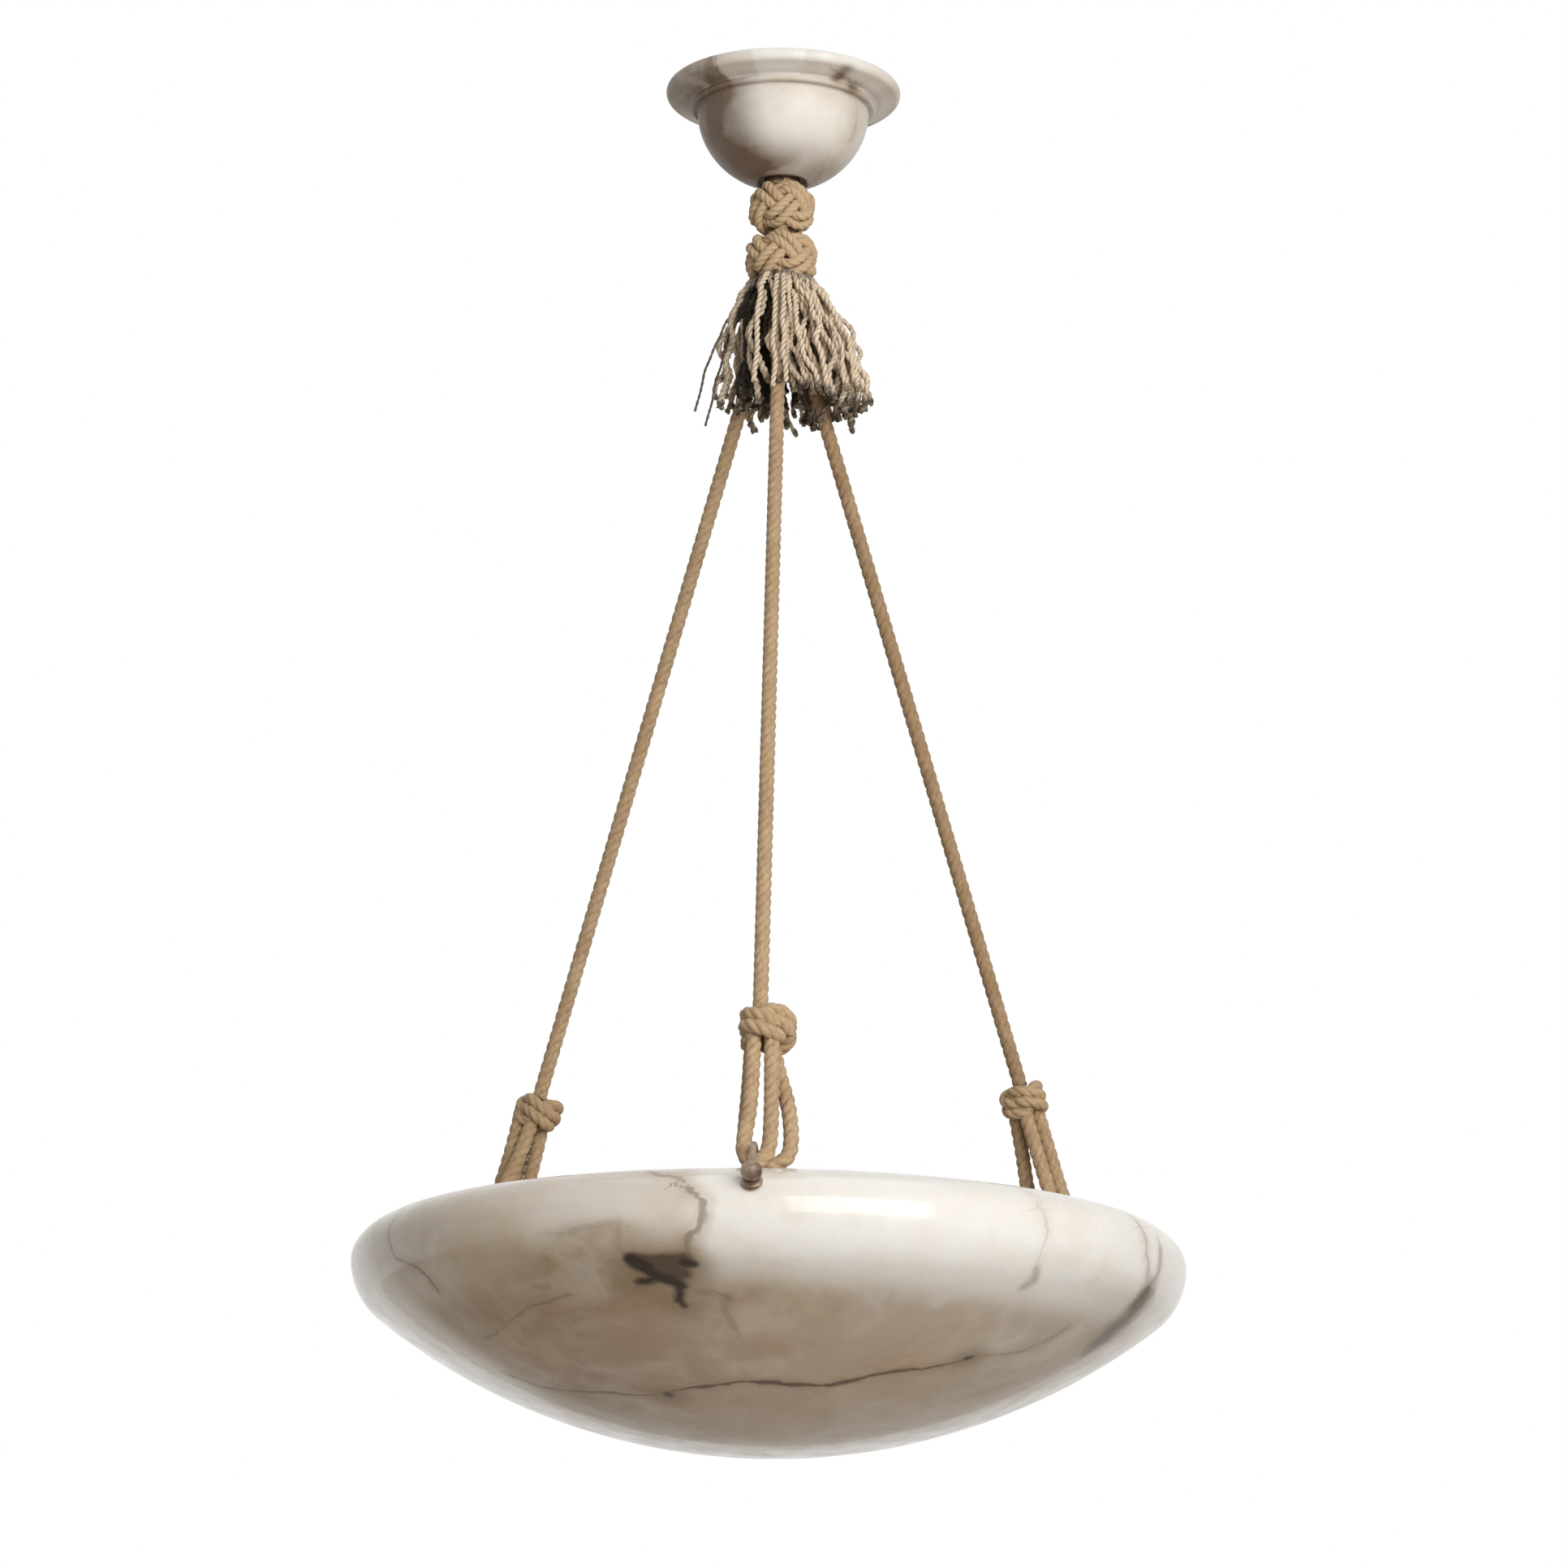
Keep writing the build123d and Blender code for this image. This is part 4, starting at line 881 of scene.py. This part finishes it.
for gap, reach, amount, tint in (
        (band, (-6.0, 9.0), 0.75, (0.11, 0.065, 0.034, 1)),
        (smear, (-1.5, 3.5), 0.5, (0.30, 0.20, 0.115, 1)),
        (around, (0.0, 16.0), 0.7, (0.30, 0.215, 0.125, 1)),
        (mass, (-2.6, 2.6), 0.94, (0.088, 0.05, 0.026, 1)),
        (dark, (-2.0, 2.6), 0.97, (0.022, 0.010, 0.004, 1))):
    colour = mix(tree, ease(tree, gap, reach[0] * MM, reach[1] * MM, amount, 0.0), colour, tint)
feed(tree, shader.inputs["Base Color"], colour)
bowl_mesh.materials.append(bowl_stone)
place("bowl_stone", bowl_mesh, "hanger", "alabaster", "bowl")


# Lamp holder spider, holders and bulbs.
# Brass strip arms screwed to a turned hub, dark moulded holders and opal glass bulbs in brass caps.
# Nuts on the rim pins hold the arms, and felt washers part them from the stone.
dark_plastic = aged_finish(
    "dark_plastic", (0.075, 0.05, 0.035), (0.12, 0.09, 0.07), scale=60.0, smooth=0.3, rough=0.5, bump=0.15)
felt = aged_finish(
    "felt", (0.22, 0.18, 0.15), (0.13, 0.11, 0.09), scale=300.0, smooth=0.9, rough=0.98, bump=0.9)
opal = aged_finish(
    "opal_glass", (0.86, 0.85, 0.80), (0.82, 0.80, 0.74), scale=20.0, smooth=0.12, rough=0.2, bump=0.02,
    Coat_Weight=0.5)
dress(satin_brass, "lamp_hub", "arm_screws", "rim_nuts")
dress(felt, "rim_washers")
dress(dark_plastic, "cable_gland")
for number in (1, 2, 3):
    dress(satin_brass, f"spider_arm_{number}", f"bulb_cap_{number}")
    dress(dark_plastic, f"lamp_holder_{number}")
    dress(opal, f"bulb_glass_{number}")


# Studio: a plain pale floor far below the hanging lamp, that fades into a white surround.
# A large soft light stands in front at the right, and a weak one hangs above.
# The camera stands low in front and looks up, as the photograph does.
FLOOR_HALF, FLOOR_DEEP, FLOOR_Z = 4.4, 6.0, -2.5
floor_mesh = bpy.data.meshes.new("floor")
floor_mesh.from_pydata(
    [(x * FLOOR_HALF, y * FLOOR_DEEP, FLOOR_Z) for x, y in ((-1, -1), (1, -1), (1, 1), (-1, 1))], [],
    [(0, 1, 2, 3)])
floor = bpy.data.objects.new("floor", floor_mesh)
bpy.context.scene.collection.objects.link(floor)
floor_paint, tree, shader = finish("floor_paint", Roughness=0.85)
where = node(tree, "TexCoord").outputs["Object"]
pale = cloud(tree, where, 3.0)
feed(tree, shader.inputs["Base Color"], mix(tree, pale, (0.76, 0.70, 0.62, 1), (0.80, 0.74, 0.66, 1)))
off = vector_step(tree, "LENGTH", vector_step(tree, "MULTIPLY", where, (1 / FLOOR_HALF, 1 / FLOOR_DEEP, 0.0)))
lift = mix(tree, ease(tree, off, 0.3, 0.95), (0.34, 0.345, 0.35, 1), (0.85, 0.87, 0.89, 1))
feed(tree, shader.inputs["Emission Color"], lift)
seen = node(tree, "LightPath").outputs
mirrored = calc(tree, "MAXIMUM", seen["Is Glossy Ray"], seen["Is Transmission Ray"])
shown = calc(tree, "MAXIMUM", seen["Is Camera Ray"], calc(tree, "MULTIPLY", mirrored, 0.25))
feed(tree, shader.inputs["Emission Strength"], shown)
floor_mesh.materials.append(floor_paint)


def softbox(name, spot, aim, size, watts, tint=(1, 1, 1)):
    """A square area light that points at a spot."""
    lamp = bpy.data.lights.new(name, "AREA")
    lamp.size, lamp.energy, lamp.color = size, watts, tint
    holder = bpy.data.objects.new(name, lamp)
    bpy.context.scene.collection.objects.link(holder)
    holder.location = spot
    holder.rotation_euler = (Vector(aim) - Vector(spot)).to_track_quat("-Z", "Y").to_euler()


softbox("key_light", (1.0, -2.24, -0.14), (0, 0, -0.5), size=1.7, watts=50, tint=(1.0, 0.985, 0.96))
softbox("top_light", (0.0, 0.2, 1.6), (0, 0, -0.7), size=1.6, watts=6)

world = bpy.data.worlds.new("surround")
bpy.context.scene.world = world
world.use_nodes = True
tree = world.node_tree
dim = tree.nodes["Background"]
dim.inputs["Color"].default_value = (1.0, 0.98, 0.95, 1)
dim.inputs["Strength"].default_value = 0.29
bright = node(tree, "Background", {"Color": (1, 1, 1, 1), "Strength": 1.0})
seen = node(tree, "LightPath").outputs
mirrored = calc(tree, "MAXIMUM", seen["Is Glossy Ray"], seen["Is Transmission Ray"])
shown = calc(tree, "MAXIMUM", seen["Is Camera Ray"], mirrored)
both = node(tree, "MixShader", {0: shown, 1: dim.outputs[0], 2: bright.outputs[0]})
feed(tree, tree.nodes["World Output"].inputs["Surface"], both.outputs[0])

FRAME_PIXELS, FOCAL_PIXELS = 1932, 6898.0
PITCH, YAW, ROLL = (math.radians(v) for v in (13.655, 0.0986, 0.7))
CAMERA_SPOT = (0, -3.0, -1.136)
camera = bpy.data.cameras.new("camera")
camera.sensor_width = 36.0
camera.lens = FOCAL_PIXELS / FRAME_PIXELS * camera.sensor_width
look = np.array((math.sin(YAW) * math.cos(PITCH), math.cos(YAW) * math.cos(PITCH), math.sin(PITCH)))
level = unit(np.cross(look, (0, 0, 1)))
upright = np.cross(level, look)
right = level * math.cos(ROLL) + upright * math.sin(ROLL)
above = upright * math.cos(ROLL) - level * math.sin(ROLL)
stand = bpy.data.objects.new("camera", camera)
bpy.context.scene.collection.objects.link(stand)
stand.matrix_world = Matrix.Translation(CAMERA_SPOT) @ Matrix(
    np.stack([right, above, -look], axis=1).tolist()).to_4x4()
bpy.context.scene.camera = stand
bpy.context.scene.view_settings.view_transform = "Standard"
